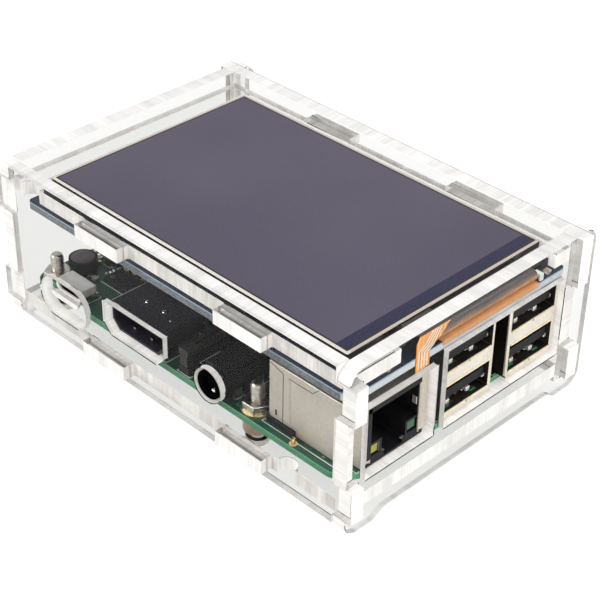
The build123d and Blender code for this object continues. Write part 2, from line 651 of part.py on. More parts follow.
with BuildPart() as touch_glass:
    cuboid(SCREEN_X, SCREEN_Y, (GLASS_BOTTOM, GLASS_TOP))
    fillet(touch_glass.edges().filter_by(Axis.Z), 0.4)
    chamfer(touch_glass.faces().sort_by(Axis.Z)[-1].edges(), 0.12)
keep(touch_glass, "touch_glass")

# The screen's flexible cable leaves its side, bulges out and folds back onto the board.
FLEX_SPAN, FLEX_THICKNESS, FLEX_TOP, FLEX_FOOT = (21.2, 48.0), 0.22, 20.1, DISPLAY_BOARD_TOP
FLEX_TURN_X = 83.4

with BuildPart() as display_flex:
    with BuildSketch(facing_front(FLEX_SPAN[0])):
        outer = (FLEX_TOP - FLEX_FOOT) / 2
        middle = (FLEX_TOP + FLEX_FOOT) / 2
        rectangle((SCREEN_X[1], FLEX_TURN_X), (FLEX_FOOT, FLEX_TOP))
        disc(FLEX_TURN_X, middle, outer)
        inner = outer - FLEX_THICKNESS
        rectangle((SCREEN_X[1], FLEX_TURN_X), about(middle, 2 * inner), mode=Mode.SUBTRACT)
        disc(FLEX_TURN_X, middle, inner, mode=Mode.SUBTRACT)
    extrude(amount=FLEX_SPAN[0] - FLEX_SPAN[1])
keep(display_flex, "display_flex")

# The touch layer's narrow tail drops over the edge of the display board.
TAIL_SPAN, TAIL_X, TAIL_THICKNESS, TAIL_TOP, TAIL_FOOT = (15.0, 19.6), 85.02, 0.2, 21.9, 14.9

with BuildPart() as touch_tail:
    with BuildSketch(facing_front(TAIL_SPAN[0])):
        with BuildLine():
            FilletPolyline(
                (SCREEN_X[1], TAIL_TOP),
                (TAIL_X + TAIL_THICKNESS, TAIL_TOP),
                (TAIL_X + TAIL_THICKNESS, TAIL_FOOT),
                (TAIL_X, TAIL_FOOT),
                (TAIL_X, TAIL_TOP - TAIL_THICKNESS),
                (SCREEN_X[1], TAIL_TOP - TAIL_THICKNESS),
                radius=[1.2, 0.05, 0.05, 1.0],
            )
            Line((SCREEN_X[1], TAIL_TOP - TAIL_THICKNESS), (SCREEN_X[1], TAIL_TOP))
        make_face()
    extrude(amount=TAIL_SPAN[0] - TAIL_SPAN[1])
keep(touch_tail, "touch_tail")
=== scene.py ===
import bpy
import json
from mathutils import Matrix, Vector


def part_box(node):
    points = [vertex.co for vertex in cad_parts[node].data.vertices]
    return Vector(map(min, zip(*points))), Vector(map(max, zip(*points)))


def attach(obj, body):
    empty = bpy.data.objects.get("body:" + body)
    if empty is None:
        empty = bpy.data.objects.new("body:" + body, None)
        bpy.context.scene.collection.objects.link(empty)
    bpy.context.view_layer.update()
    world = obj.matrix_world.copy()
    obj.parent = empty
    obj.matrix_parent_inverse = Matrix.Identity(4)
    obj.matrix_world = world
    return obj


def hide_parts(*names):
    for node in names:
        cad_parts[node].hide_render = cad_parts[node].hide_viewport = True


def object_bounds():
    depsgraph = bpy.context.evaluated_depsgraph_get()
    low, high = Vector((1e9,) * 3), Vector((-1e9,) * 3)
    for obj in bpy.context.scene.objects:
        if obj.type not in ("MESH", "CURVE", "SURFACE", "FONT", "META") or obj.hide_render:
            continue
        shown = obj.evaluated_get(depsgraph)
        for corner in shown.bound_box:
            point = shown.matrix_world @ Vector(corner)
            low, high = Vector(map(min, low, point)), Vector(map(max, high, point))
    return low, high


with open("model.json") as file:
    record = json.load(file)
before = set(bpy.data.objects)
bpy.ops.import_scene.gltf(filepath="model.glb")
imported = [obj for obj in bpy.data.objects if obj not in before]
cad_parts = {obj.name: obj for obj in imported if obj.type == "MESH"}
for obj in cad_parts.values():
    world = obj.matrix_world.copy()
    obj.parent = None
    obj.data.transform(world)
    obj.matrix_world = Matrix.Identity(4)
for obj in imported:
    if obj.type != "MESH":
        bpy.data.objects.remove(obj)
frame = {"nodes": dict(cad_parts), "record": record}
cad_box = [list(corner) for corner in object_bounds()]

import json
import math

import bmesh
import bpy
from mathutils import Matrix, Vector

# ---- places
# Board millimetres: x from the memory card end, y from the video side, z up from the board's top face.
MM = 0.001
MAIN = "case_and_board"
board_low, board_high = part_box("main_board")
BOARD_ORIGIN = Vector((board_low.x, board_low.y, board_high.z))
BOARD_THICK = (board_high.z - board_low.z) / MM
USB_CENTRES = (29.0, 47.0)
ACRYLIC_IOR = 1.49
WAVE_UNIT = math.pi / 10  # metres between the bands of a wave texture whose scale is 1


def spans(node):
    """A node's box as three (low, high) spans in board millimetres."""
    low, high = ((corner - BOARD_ORIGIN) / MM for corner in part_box(node))
    return [(low[i], high[i]) for i in range(3)]


def solids_of(node):
    """The separate solids of a node, each as three spans in board millimetres."""
    bm = bmesh.new()
    bm.from_mesh(frame["nodes"][node].data)
    bmesh.ops.remove_doubles(bm, verts=bm.verts, dist=1e-6)
    left = set(bm.verts)
    found = []
    while left:
        group = {left.pop()}
        edge = set(group)
        while edge:
            near = {e.other_vert(v) for v in edge for e in v.link_edges}
            edge = near & left
            group |= edge
            left -= edge
        places = [(v.co - BOARD_ORIGIN) / MM for v in group]
        found.append([(min(p[i] for p in places), max(p[i] for p in places)) for i in range(3)])
    bm.free()
    return sorted(found)


def middle(span):
    """Half way along a span."""
    return (span[0] + span[1]) / 2


def size(span):
    """How long a span is."""
    return span[1] - span[0]


def grow(span, by):
    """A span made longer by the same amount at both ends."""
    return (span[0] - by, span[1] + by)


def around(place, half):
    """The span that reaches half to each side of a place."""
    return (place - half, place + half)


# ---- material nodes
def material(name, roughness=0.5, metallic=0.0, **sockets):
    """A new material, its node tree and its Principled shader. Other sockets go by their names."""
    made = bpy.data.materials.new(name)
    made.use_nodes = True
    shader = made.node_tree.nodes["Principled BSDF"]
    shader.inputs["Roughness"].default_value = roughness
    shader.inputs["Metallic"].default_value = metallic
    for socket, value in sockets.items():
        shader.inputs[socket.replace("_", " ")].default_value = value
    return made, made.node_tree, shader


def position(tree, stretch=(1, 1, 1), shift=(0, 0, 0)):
    """The place on the object in metres, each axis stretched."""
    coordinates = tree.nodes.new("ShaderNodeTexCoord")
    mapping = tree.nodes.new("ShaderNodeMapping")
    mapping.inputs["Scale"].default_value = stretch
    mapping.inputs["Location"].default_value = shift
    tree.links.new(coordinates.outputs["Object"], mapping.inputs["Vector"])
    return mapping.outputs["Vector"]


def noise_field(tree, scale, detail=3.0, stretch=(1, 1, 1)):
    """Noise whose features are 1/scale metres across."""
    field = tree.nodes.new("ShaderNodeTexNoise")
    field.inputs["Scale"].default_value = scale
    field.inputs["Detail"].default_value = detail
    tree.links.new(position(tree, stretch), field.inputs["Vector"])
    return field.outputs["Fac"]


def ramp(tree, value, stops):
    """A colour for each value, through (place, colour) stops."""
    node = tree.nodes.new("ShaderNodeValToRGB")
    elements = node.color_ramp.elements
    while len(elements) < len(stops):
        elements.new(0.5)
    for element, (place, colour) in zip(elements, stops):
        element.position = place
        element.color = (*colour, 1)
    tree.links.new(value, node.inputs["Fac"])
    return node.outputs["Color"]


def remap(tree, value, low, high, start=0.3, end=0.7):
    """value from start to end becomes low to high."""
    node = tree.nodes.new("ShaderNodeMapRange")
    for socket, number in (("From Min", start), ("From Max", end), ("To Min", low), ("To Max", high)):
        node.inputs[socket].default_value = number
    tree.links.new(value, node.inputs["Value"])
    return node.outputs["Result"]


def maths(tree, operation, a, b=0.0):
    """The result of a Math node. a and b are numbers or outputs."""
    node = tree.nodes.new("ShaderNodeMath")
    node.operation = operation
    for socket, value in zip(node.inputs, (a, b)):
        if isinstance(value, (int, float)):
            socket.default_value = value
        else:
            tree.links.new(value, socket)
    return node.outputs["Value"]


def blend(tree, first, share, second):
    """share of the first value and the rest of the second."""
    return maths(
        tree, "ADD", maths(tree, "MULTIPLY", first, share), maths(tree, "MULTIPLY", second, 1 - share)
    )


def within(tree, distance, edge, soft=0.1):
    """1 where a distance is under edge millimetres and 0 where it is over, softly."""
    return remap(tree, distance, 0, 1, (edge + soft / 2) * MM, (edge - soft / 2) * MM)


def split_axes(tree, vector):
    """The X, Y and Z outputs of a vector."""
    node = tree.nodes.new("ShaderNodeSeparateXYZ")
    tree.links.new(vector, node.inputs["Vector"])
    return node.outputs


def surface_normal(tree):
    """The X, Y and Z outputs of the way the surface faces."""
    return split_axes(tree, tree.nodes.new("ShaderNodeNewGeometry").outputs["Normal"])


def upright(tree):
    """1 on a sheet's sides and 0 on the faces that look up or down."""
    return remap(tree, maths(tree, "ABSOLUTE", surface_normal(tree)["Z"]), 1, 0, 0.4, 0.6)


def wave(tree, axis, scale):
    """The outputs of smooth bands, WAVE_UNIT / scale metres apart along axis."""
    node = tree.nodes.new("ShaderNodeTexWave")
    node.bands_direction = axis
    node.inputs["Scale"].default_value = scale
    tree.links.new(position(tree), node.inputs["Vector"])
    return node.outputs


def mixed(tree, factor, a, b):
    """Colour a where factor is 0 and colour b where it is 1."""
    node = tree.nodes.new("ShaderNodeMix")
    node.data_type = "RGBA"
    tree.links.new(factor, node.inputs["Factor"])
    for socket, value in ((node.inputs[6], a), (node.inputs[7], b)):
        if isinstance(value, tuple):
            socket.default_value = (*value, 1)
        else:
            tree.links.new(value, socket)
    return node.outputs[2]


def bumped(tree, shader, height, strength, depth_mm):
    """Raises the shader's surface by a height, up to depth_mm."""
    node = tree.nodes.new("ShaderNodeBump")
    node.inputs["Strength"].default_value = strength
    node.inputs["Distance"].default_value = depth_mm * MM
    tree.links.new(height, node.inputs["Height"])
    tree.links.new(node.outputs["Normal"], shader.inputs["Normal"])


def grained(
    name, dark, light, scale, rough, metallic=0.0, bump=0.2, depth=0.02, stretch=(1, 1, 1), **sockets
):
    """A surface whose colour, roughness and height follow fine noise."""
    made, tree, shader = material(name, metallic=metallic, **sockets)
    fine = noise_field(tree, scale, 4.0, stretch)
    both = blend(tree, fine, 0.5, noise_field(tree, scale / 9, 2.0))
    tree.links.new(ramp(tree, both, ((0.36, dark), (0.64, light))), shader.inputs["Base Color"])
    tree.links.new(remap(tree, both, *rough), shader.inputs["Roughness"])
    bumped(tree, shader, fine, bump, depth)
    return made


# ---- materials
def clear_face():
    """Clear acrylic that lets lamps through, with the faint ripple of cast sheet.

    Most of it only bends light, which keeps the dark pieces behind it free of stray reflections.
    """
    made, tree, shader = material("acrylic_face", roughness=0.0, Transmission_Weight=1.0, IOR=ACRYLIC_IOR)
    shader.inputs["Base Color"].default_value = (0.88, 0.882, 0.876, 1)
    bumped(tree, shader, noise_field(tree, 90, 1.0), 0.02, 0.3)
    bent = tree.nodes.new("ShaderNodeBsdfRefraction")
    bent.inputs["Color"].default_value = (0.935, 0.937, 0.933, 1)
    bent.inputs["Roughness"].default_value = 0.0
    bent.inputs["IOR"].default_value = ACRYLIC_IOR
    quiet = tree.nodes.new("ShaderNodeMixShader")
    quiet.inputs["Fac"].default_value = 0.88
    tree.links.new(shader.outputs["BSDF"], quiet.inputs[1])
    tree.links.new(bent.outputs["BSDF"], quiet.inputs[2])
    path = tree.nodes.new("ShaderNodeLightPath")
    through = tree.nodes.new("ShaderNodeBsdfTransparent")
    through.inputs["Color"].default_value = (0.95, 0.955, 0.95, 1)
    either = tree.nodes.new("ShaderNodeMixShader")
    tree.links.new(path.outputs["Is Shadow Ray"], either.inputs["Fac"])
    tree.links.new(quiet.outputs["Shader"], either.inputs[1])
    tree.links.new(through.outputs["BSDF"], either.inputs[2])
    tree.links.new(either.outputs["Shader"], tree.nodes["Material Output"].inputs["Surface"])
    return made


def cut_edge(axis):
    """A laser-cut edge of sheet whose thickness runs along axis: frosted, with fine lines across it.

    Edges on top of the case are darker with painted shade, and those behind the front plate give out a
    painted glow by emission.
    """
    made, tree, shader = material(f"acrylic_cut_edge_{'xyz'[axis]}", Specular_IOR_Level=0.3)
    along = [1.0, 1.0, 1.0]
    along[axis] = 0.06
    lines = noise_field(tree, 2600, 2.0, tuple(along))
    both = blend(tree, lines, 0.45, noise_field(tree, 330, 2.0, tuple(along)))
    lit = ramp(tree, both, ((0.36, (0.6, 0.58, 0.56)), (0.64, (0.78, 0.76, 0.74))))
    dim = ramp(tree, both, ((0.36, (0.42, 0.41, 0.4)), (0.64, (0.54, 0.53, 0.52))))
    place = split_axes(tree, position(tree))
    roof = 0.03
    # painted shade: up-facing edges at the top of the case take the darker tint
    painted_top_shade = maths(
        tree, "MULTIPLY", remap(tree, surface_normal(tree)["Z"], 0, 1, 0.3, 0.8),
        remap(tree, place["Z"], 0, 1, roof - MM, roof + MM),
    )
    tint = mixed(tree, painted_top_shade, lit, dim)
    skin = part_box("front_plate")[0].y
    # painted glow: edges behind the front plate's outer skin shine by emission
    glow = remap(tree, place["Y"], 0.06, 0.4, skin + 0.2 * MM, skin + MM)
    tree.links.new(glow, shader.inputs["Emission Strength"])
    tree.links.new(tint, shader.inputs["Base Color"])
    tree.links.new(tint, shader.inputs["Emission Color"])
    tree.links.new(remap(tree, both, 0.32, 0.62), shader.inputs["Roughness"])
    bumped(tree, shader, lines, 0.5, 0.05)
    return made


def cut_board_edge(tree, base, node, dark, light, line, end):
    """Base on a board's faces; cut glass fibre on its sides, under a thin painted highlight along the top,
    with painted light making the sides that face +X brighter.
    """
    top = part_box(node)[1].z
    place = split_axes(tree, position(tree))
    fibre = ramp(tree, noise_field(tree, 2600, 2.0), ((0.36, dark), (0.64, light)))
    # painted light: sides that face +X take the brighter end colour
    fibre = mixed(tree, remap(tree, surface_normal(tree)["X"], 0, 1, 0.4, 0.6), fibre, end)
    # painted highlight: a thin lighter line along the top of the cut side
    side = mixed(tree, remap(tree, place["Z"], 0, 1, top - 0.34 * MM, top - 0.28 * MM), fibre, line)
    return mixed(tree, upright(tree), base, side)


def solder_mask(name, node, dark, light, copper, edge):
    """Solder mask over copper: bundles of tracks one way or the other, patch by patch."""
    made, tree, shader = material(
        name, roughness=0.35, Coat_Weight=0.12, Coat_Roughness=0.2, Specular_IOR_Level=0.25
    )
    cells = tree.nodes.new("ShaderNodeTexVoronoi")
    cells.distance = "CHEBYCHEV"
    cells.inputs["Scale"].default_value = 130
    tree.links.new(position(tree), cells.inputs["Vector"])
    patch = tree.nodes.new("ShaderNodeSeparateColor")
    tree.links.new(cells.outputs["Color"], patch.inputs["Color"])
    across, along = (wave(tree, axis, 620)["Color"] for axis in "XY")
    tracks = mixed(tree, remap(tree, patch.outputs["Red"], 0, 1, 0.49, 0.51), across, along)
    shown = maths(tree, "MULTIPLY", tracks, remap(tree, patch.outputs["Green"], 0, 1, 0.5, 0.52))
    raised = remap(tree, shown, 0, 1, 0.55, 0.75)
    grain = noise_field(tree, 900, 3.0)
    face = mixed(tree, raised, ramp(tree, grain, ((0.35, dark), (0.65, light))), copper)
    tree.links.new(cut_board_edge(tree, face, node, *edge), shader.inputs["Base Color"])
    tree.links.new(remap(tree, grain, 0.3, 0.45), shader.inputs["Roughness"])
    bumped(tree, shader, raised, 0.35, 0.04)
    return made


def folded_flex():
    """Orange film over fine tracks, darkened by painted shade towards its top, where the fold turns under
    the panel.
    """
    made, tree, shader = material(
        "flex_tracks", Coat_Weight=0.25, Coat_Roughness=0.15, Specular_IOR_Level=0.3
    )
    low, high = (corner.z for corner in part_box("display_flex"))
    rise = remap(tree, split_axes(tree, position(tree))["Z"], 0, 1, low, high)
    grain = noise_field(tree, 500, 3.0, (1, 0.2, 1))
    height = maths(tree, "ADD", rise, remap(tree, grain, -0.1, 0.1))
    # painted shade: both ramps darken the film upwards, under the panel
    film, shade = (
        ramp(tree, height, tuple(zip((0.05, 0.42, 0.68, 0.95), colours))) for colours in (
            ((0.72, 0.36, 0.15), (0.6, 0.29, 0.13), (0.24, 0.17, 0.13), (0.09, 0.075, 0.075)),
            ((0.52, 0.24, 0.09), (0.42, 0.19, 0.08), (0.17, 0.12, 0.09), (0.07, 0.06, 0.06)),
        )
    )
    line = remap(tree, wave(tree, "Y", WAVE_UNIT / (0.34 * MM))["Fac"], 0, 1, 0.3, 0.6)
    tree.links.new(mixed(tree, line, shade, film), shader.inputs["Base Color"])
    tree.links.new(remap(tree, grain, 0.2, 0.4), shader.inputs["Roughness"])
    bumped(tree, shader, line, 0.05, 0.01)
    return made


def tail_film():
    """Orange film over tracks that run down it side by side."""
    made, tree, shader = material("tail_tracks", roughness=0.25, Coat_Weight=0.6, Coat_Roughness=0.12)
    grain = noise_field(tree, 300, 2.0)
    tint = ramp(tree, grain, ((0.35, (0.82, 0.34, 0.06)), (0.65, (0.95, 0.47, 0.13))))
    line = remap(tree, wave(tree, "Y", WAVE_UNIT / (1.1 * MM))["Fac"], 0, 1, 0.3, 0.5)
    tree.links.new(mixed(tree, line, (0.78, 0.3, 0.05), tint), shader.inputs["Base Color"])
    tree.links.new(remap(tree, grain, 0.18, 0.38), shader.inputs["Roughness"])
    bumped(tree, shader, line, 0.12, 0.02)
    return made


def screen():
    """Film over the dark display: the picture area, a navy margin at the socket end and a pale rim."""
    made, tree, shader = material("display_film", roughness=0.22, Coat_Weight=0.08, Specular_IOR_Level=0.2)
    across, up, _ = spans("touch_glass")
    centre = BOARD_ORIGIN + Vector((middle(across), middle(up), 0)) * MM
    half_long, half_deep = size(across) / 2 * MM, size(up) / 2 * MM
    place = split_axes(tree, position(tree, shift=(-centre.x, -centre.y, 0)))
    inset_x = maths(tree, "SUBTRACT", half_long, maths(tree, "ABSOLUTE", place["X"]))
    inset_y = maths(tree, "SUBTRACT", half_deep, maths(tree, "ABSOLUTE", place["Y"]))
    inset = maths(tree, "MINIMUM", inset_x, inset_y)
    to_end = maths(tree, "SUBTRACT", half_long, place["X"])
    grain = noise_field(tree, 2500, 2.0)
    both = blend(tree, grain, 0.3, noise_field(tree, 22, 2.0))
    picture = ramp(tree, both, ((0.3, (0.052, 0.044, 0.07)), (0.7, (0.075, 0.066, 0.095))))
    margin = ramp(tree, grain, ((0.3, (0.012, 0.012, 0.035)), (0.7, (0.02, 0.019, 0.05))))
    colour = mixed(tree, within(tree, to_end, 3.5), picture, margin)
    colour = mixed(tree, within(tree, inset, 1.0), colour, (0.02, 0.018, 0.02))
    front = remap(tree, place["Y"], 0, 1, 1.1 * MM - half_deep, 0.9 * MM - half_deep)
    rim = mixed(tree, front, (0.42, 0.37, 0.32), (0.55, 0.52, 0.48))
    colour = mixed(tree, within(tree, inset, 0.59, 0.06), colour, rim)
    tree.links.new(mixed(tree, upright(tree), colour, (0.012, 0.011, 0.012)), shader.inputs["Base Color"])
    tree.links.new(remap(tree, both, 0.2, 0.27), shader.inputs["Roughness"])
    bumped(tree, shader, grain, 0.06, 0.01)
    return made


ACRYLIC_FACE = clear_face()
ACRYLIC_EDGE = [cut_edge(axis) for axis in range(3)]
# Edge colours: dark and light glass fibre, a painted highlight along the top of the cut side, and a painted
# lighter tone for sides that face +X.
BOARD_GREEN = solder_mask(
    "solder_mask_green", "main_board", (0.001, 0.04, 0.022), (0.002, 0.065, 0.036), (0.006, 0.12, 0.065),
    ((0.03, 0.17, 0.09), (0.06, 0.24, 0.13), (0.13, 0.32, 0.15), (0.08, 0.34, 0.18)),
)
BOARD_NAVY = solder_mask(
    "solder_mask_navy", "display_board", (0.004, 0.008, 0.022), (0.007, 0.013, 0.032), (0.014, 0.024, 0.05),
    ((0.1, 0.11, 0.12), (0.2, 0.21, 0.23), (0.3, 0.38, 0.48), (0.6, 0.62, 0.66)),
)
EPOXY = grained(
    "moulded_epoxy", (0.008, 0.007, 0.009), (0.02, 0.018, 0.022), 1600, (0.45, 0.65), bump=0.08,
    Specular_IOR_Level=0.15,
)
NYLON = grained(
    "moulded_nylon", (0.004, 0.004, 0.005), (0.014, 0.013, 0.015), 1400, (0.4, 0.55), bump=0.05,
    Specular_IOR_Level=0.15,
)
PITCH = grained(
    "socket_bore", (0.001, 0.001, 0.001), (0.004, 0.004, 0.004), 900, (0.6, 0.8), Specular_IOR_Level=0.0
)
LATCH = grained(
    "latch_nylon", (0.012, 0.01, 0.01), (0.03, 0.026, 0.026), 3000, (0.35, 0.5), Specular_IOR_Level=0.2
)
TIN = grained("tin_plate", (0.6, 0.59, 0.57), (0.8, 0.79, 0.77), 1200, (0.25, 0.4), metallic=1.0, bump=0.05)
ZINC = grained(
    "bright_zinc", (0.5, 0.47, 0.42), (0.7, 0.66, 0.6), 1300, (0.22, 0.38), metallic=1.0, bump=0.05
)
BRASS = grained(
    "dull_nickel_brass", (0.36, 0.28, 0.22), (0.52, 0.42, 0.34), 1300, (0.28, 0.45), metallic=1.0, bump=0.08
)
DARK_STEEL = grained("black_nickel", (0.1, 0.09, 0.11), (0.2, 0.18, 0.21), 2200, (0.25, 0.42), metallic=1.0)
SHIELD = grained(
    "satin_nickel", (0.51, 0.46, 0.4), (0.63, 0.57, 0.5), 1800, (0.35, 0.5), metallic=0.7, bump=0.1
)
SHELL = grained(
    "bright_nickel", (0.62, 0.57, 0.49), (0.78, 0.72, 0.63), 1500, (0.3, 0.46), metallic=0.6, bump=0.05
)
GOLD = grained(
    "gold_flash", (0.72, 0.46, 0.16), (0.95, 0.7, 0.34), 3000, (0.16, 0.34), metallic=1.0, bump=0.1
)
COPPER_PAD = grained(
    "gold_pad", (0.62, 0.5, 0.28), (0.85, 0.72, 0.45), 2600, (0.22, 0.4), metallic=0.9, bump=0.1
)
SOLDER = grained("solder", (0.6, 0.6, 0.6), (0.85, 0.85, 0.84), 2400, (0.15, 0.35), metallic=1.0, bump=0.2)
WHITE_CERAMIC = grained("white_ceramic", (0.7, 0.7, 0.67), (0.86, 0.86, 0.83), 4200, (0.4, 0.6), bump=0.2)
TAN_CERAMIC = grained("tan_ceramic", (0.3, 0.2, 0.12), (0.5, 0.37, 0.25), 4200, (0.35, 0.55), bump=0.25)
INK = grained("white_ink", (0.62, 0.66, 0.62), (0.85, 0.88, 0.84), 5200, (0.55, 0.75), bump=0.25, depth=0.01)
YELLOW_LENS = grained("yellow_lens", (0.13, 0.13, 0.005), (0.3, 0.29, 0.02), 1400, (0.15, 0.3), bump=0.1)
GREEN_LENS = grained("green_lens", (0.006, 0.05, 0.02), (0.03, 0.15, 0.07), 1400, (0.15, 0.3), bump=0.1)
CARD = grained("card_moulding", (0.012, 0.012, 0.014), (0.026, 0.026, 0.03), 2600, (0.25, 0.4), bump=0.15)
FOAM = grained("foam", (0.02, 0.02, 0.02), (0.06, 0.06, 0.06), 2200, (0.8, 0.95), bump=0.8, depth=0.08)
PRESSED = grained(
    "pressed_aluminium", (0.48, 0.47, 0.45), (0.66, 0.65, 0.62), 1500, (0.28, 0.45),
    metallic=1.0, stretch=(0.15, 1, 1),
)
FLEX = folded_flex()
TAIL = tail_film()
SCREEN = screen()
TRACK_GREEN = grained("mask_over_tracks", (0.02, 0.2, 0.1), (0.04, 0.28, 0.15), 1500, (0.3, 0.42), bump=0.1)
MARK_GREY = grained("laser_mark", (0.1, 0.1, 0.1), (0.18, 0.18, 0.18), 3000, (0.5, 0.7), bump=0.1)
FERRITE = grained(
    "ferrite", (0.09, 0.072, 0.083), (0.16, 0.135, 0.15), 1500, (0.3, 0.5), bump=0.15, Specular_IOR_Level=0.2
)
# Near-black for real seams, cuts and slot windows, and as painted shade on the display can's +X side and at
# the touch tail's fold.
SEAMS_AND_PAINTED_SHADE = grained("seam_shadow", (0.02, 0.018, 0.016), (0.05, 0.045, 0.04), 2000, (0.5, 0.7), bump=0.1)
BRIGHT_SPRING = grained(
    "spring_steel", (0.8, 0.78, 0.72), (0.95, 0.93, 0.88), 1500, (0.15, 0.3), metallic=0.6
)
POLISHED = grained(
    "polished_tin", (0.8, 0.79, 0.77), (0.95, 0.94, 0.92), 900, (0.08, 0.2), metallic=1.0, bump=0.03
)
POWER_TIN = grained(
    "pale_tin", (0.6, 0.58, 0.57), (0.74, 0.72, 0.71), 900, (0.3, 0.45), metallic=0.15, bump=0.03
)
# painted reflection: the video case's plated metal is given the dark plum of the display board that it
# mirrors
VIDEO_PAINTED_REFLECTION = grained(
    "video_shell_painted_reflection", (0.012, 0.011, 0.017), (0.028, 0.026, 0.036), 700, (0.35, 0.5), bump=0.03,
    Specular_IOR_Level=0.25,
)
INSIDE_SHADE = grained(
    "shell_inside", (0.006, 0.005, 0.005), (0.02, 0.018, 0.015), 1200, (0.4, 0.6), Specular_IOR_Level=0.15
)
# painted highlight: pale grey for the folded top edges of the front sockets
EDGE_HIGHLIGHT_GREY = grained("painted_edge_highlight", (0.25, 0.23, 0.24), (0.42, 0.39, 0.4), 1500, (0.3, 0.5), bump=0.05)
# painted glint: a brighter green than the board, for the board showing through openings under the USB shells
PAINTED_GREEN_GLINT = grained("board_green_painted_glint", (0.02, 0.2, 0.09), (0.05, 0.32, 0.15), 1400, (0.4, 0.6), bump=0.05)
LIP_GOLD = grained(
    "rolled_lip", (0.7, 0.6, 0.42), (0.9, 0.8, 0.6), 500, (0.2, 0.35), metallic=0.3, bump=0.01
)
BROWN_TONGUE = grained(
    "brown_moulding", (0.24, 0.12, 0.02), (0.38, 0.2, 0.035), 1400, (0.35, 0.5), bump=0.05
)
PALE_LINE = grained("tinned_line", (0.75, 0.7, 0.62), (0.95, 0.92, 0.86), 2000, (0.3, 0.5), metallic=0.2)

SLOT_MATERIAL = {
    "nickel_screw": ZINC, "brass_spacer": BRASS, "green_board": BOARD_GREEN, "navy_board": BOARD_NAVY,
    "chip_black": EPOXY, "socket_black": NYLON, "latch_dark": LATCH, "tin_plate": TIN,
    "dark_steel": DARK_STEEL, "satin_shield": SHIELD, "bright_shell": SHELL, "gold_contact": GOLD,
    "white_ceramic": WHITE_CERAMIC, "tan_ceramic": TAN_CERAMIC, "led_yellow": YELLOW_LENS,
    "led_green": GREEN_LENS, "card_black": CARD, "foam_tape": FOAM, "lcd_frame": PRESSED,
    "screen_glass": SCREEN, "orange_flex": FLEX,
}
NODE_MATERIAL = {"touch_tail": TAIL, "power_socket_tongue": BROWN_TONGUE}


def dress_cad_nodes():
    """Each CAD node gets its slot's material."""
    for part in frame["record"]["subparts"]:
        chosen = NODE_MATERIAL.get(part["node"]) or SLOT_MATERIAL.get(part["material_slot"])
        if chosen is not None:
            node = frame["nodes"][part["node"]]
            node.data.materials.clear()
            node.data.materials.append(chosen)


# ---- mesh helpers, in board millimetres
def block(bm, x, y, z):
    """A box over three spans."""
    corners = [bm.verts.new((x[i], y[j], z[k])) for i in (0, 1) for j in (0, 1) for k in (0, 1)]
    for face in ((0, 1, 3, 2), (4, 6, 7, 5), (0, 4, 5, 1), (2, 3, 7, 6), (0, 2, 6, 4), (1, 5, 7, 3)):
        bm.faces.new([corners[i] for i in face])


def loft(bm, first, last):
    """A closed shape between two outlines whose (x, y, z) points match one to one."""
    start = [bm.verts.new(point) for point in first]
    end = [bm.verts.new(point) for point in last]
    bm.faces.new(start[::-1])
    bm.faces.new(end)
    for i in range(len(start)):
        j = (i + 1) % len(start)
        bm.faces.new((start[i], start[j], end[j], end[i]))


def lathe(bm, centre, profile, axis=(0, 0, 1), sides=32, closed=True):
    """A profile of (radius, height) points turned about an axis through centre."""
    turn = Vector((0, 0, 1)).rotation_difference(Vector(axis)).to_matrix()
    loops = []
    for radius, height in profile:
        loop = []
        for i in range(sides):
            angle = 2 * math.pi * i / sides
            flat = Vector((radius * math.cos(angle), radius * math.sin(angle), height))
            loop.append(bm.verts.new(Vector(centre) + turn @ flat))
        loops.append(loop)
    pairs = list(zip(loops, loops[1:]))
    if closed:
        pairs.append((loops[-1], loops[0]))
    for lower, upper in pairs:
        for i in range(sides):
            j = (i + 1) % sides
            bm.faces.new((lower[i], lower[j], upper[j], upper[i]))
    if not closed:
        bm.faces.new(loops[0][::-1])
        bm.faces.new(loops[-1])


def ring(bm, centre, inner, outer, high, axis=(0, 0, 1), sides=32):
    """A ring about an axis, from centre to high above it."""
    lathe(bm, centre, [(inner, 0), (outer, 0), (outer, high), (inner, high)], axis, sides)


def ribbon(bm, path, width, z):
    """A flat strip of one width along a path, over the span z."""
    points = [Vector(p) for p in path]
    left, right = [], []
    for i, point in enumerate(points):
        before = points[i] - points[i - 1] if i else points[1] - points[0]
        after = points[i + 1] - points[i] if i + 1 < len(points) else before
        way = (before.normalized() + after.normalized()).normalized()
        side = Vector((-way.y, way.x, 0)) * width / 2 / max(0.5, way.dot(after.normalized()))
        left.append(point + side)
        right.append(point - side)
    for i in range(len(points) - 1):
        corners = (right[i], right[i + 1], left[i + 1], left[i])
        loft(bm, *([(corner.x, corner.y, level) for corner in corners] for level in z))


def piece(bm, name, look, slot, body=MAIN, bevel=0.0, segments=2, smooth=40):
    """Turns a board-millimetre mesh into an object that rides on a body."""
    bmesh.ops.recalc_face_normals(bm, faces=bm.faces)
    for vertex in bm.verts:
        vertex.co = BOARD_ORIGIN + vertex.co * MM
    mesh = bpy.data.meshes.new(name)
    bm.to_mesh(mesh)
    bm.free()
    made = bpy.data.objects.new(name, mesh)
    bpy.context.scene.collection.objects.link(made)
    for one in look if isinstance(look, list) else [look]:
        mesh.materials.append(one)
    mesh.shade_smooth()
    mesh.set_sharp_from_angle(angle=math.radians(smooth))
    if bevel:
        rounded = made.modifiers.new("rounded_edges", "BEVEL")
        rounded.width = bevel * MM
        rounded.segments = segments
        rounded.limit_method = "ANGLE"
        rounded.angle_limit = math.radians(35)
    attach(made, body)
    return made


def boxes(name, look, slot, places, **how):
    """A piece made of blocks, each given as its three spans."""
    bm = bmesh.new()
    for place in places:
        block(bm, *place)
    piece(bm, name, look, slot, **how)


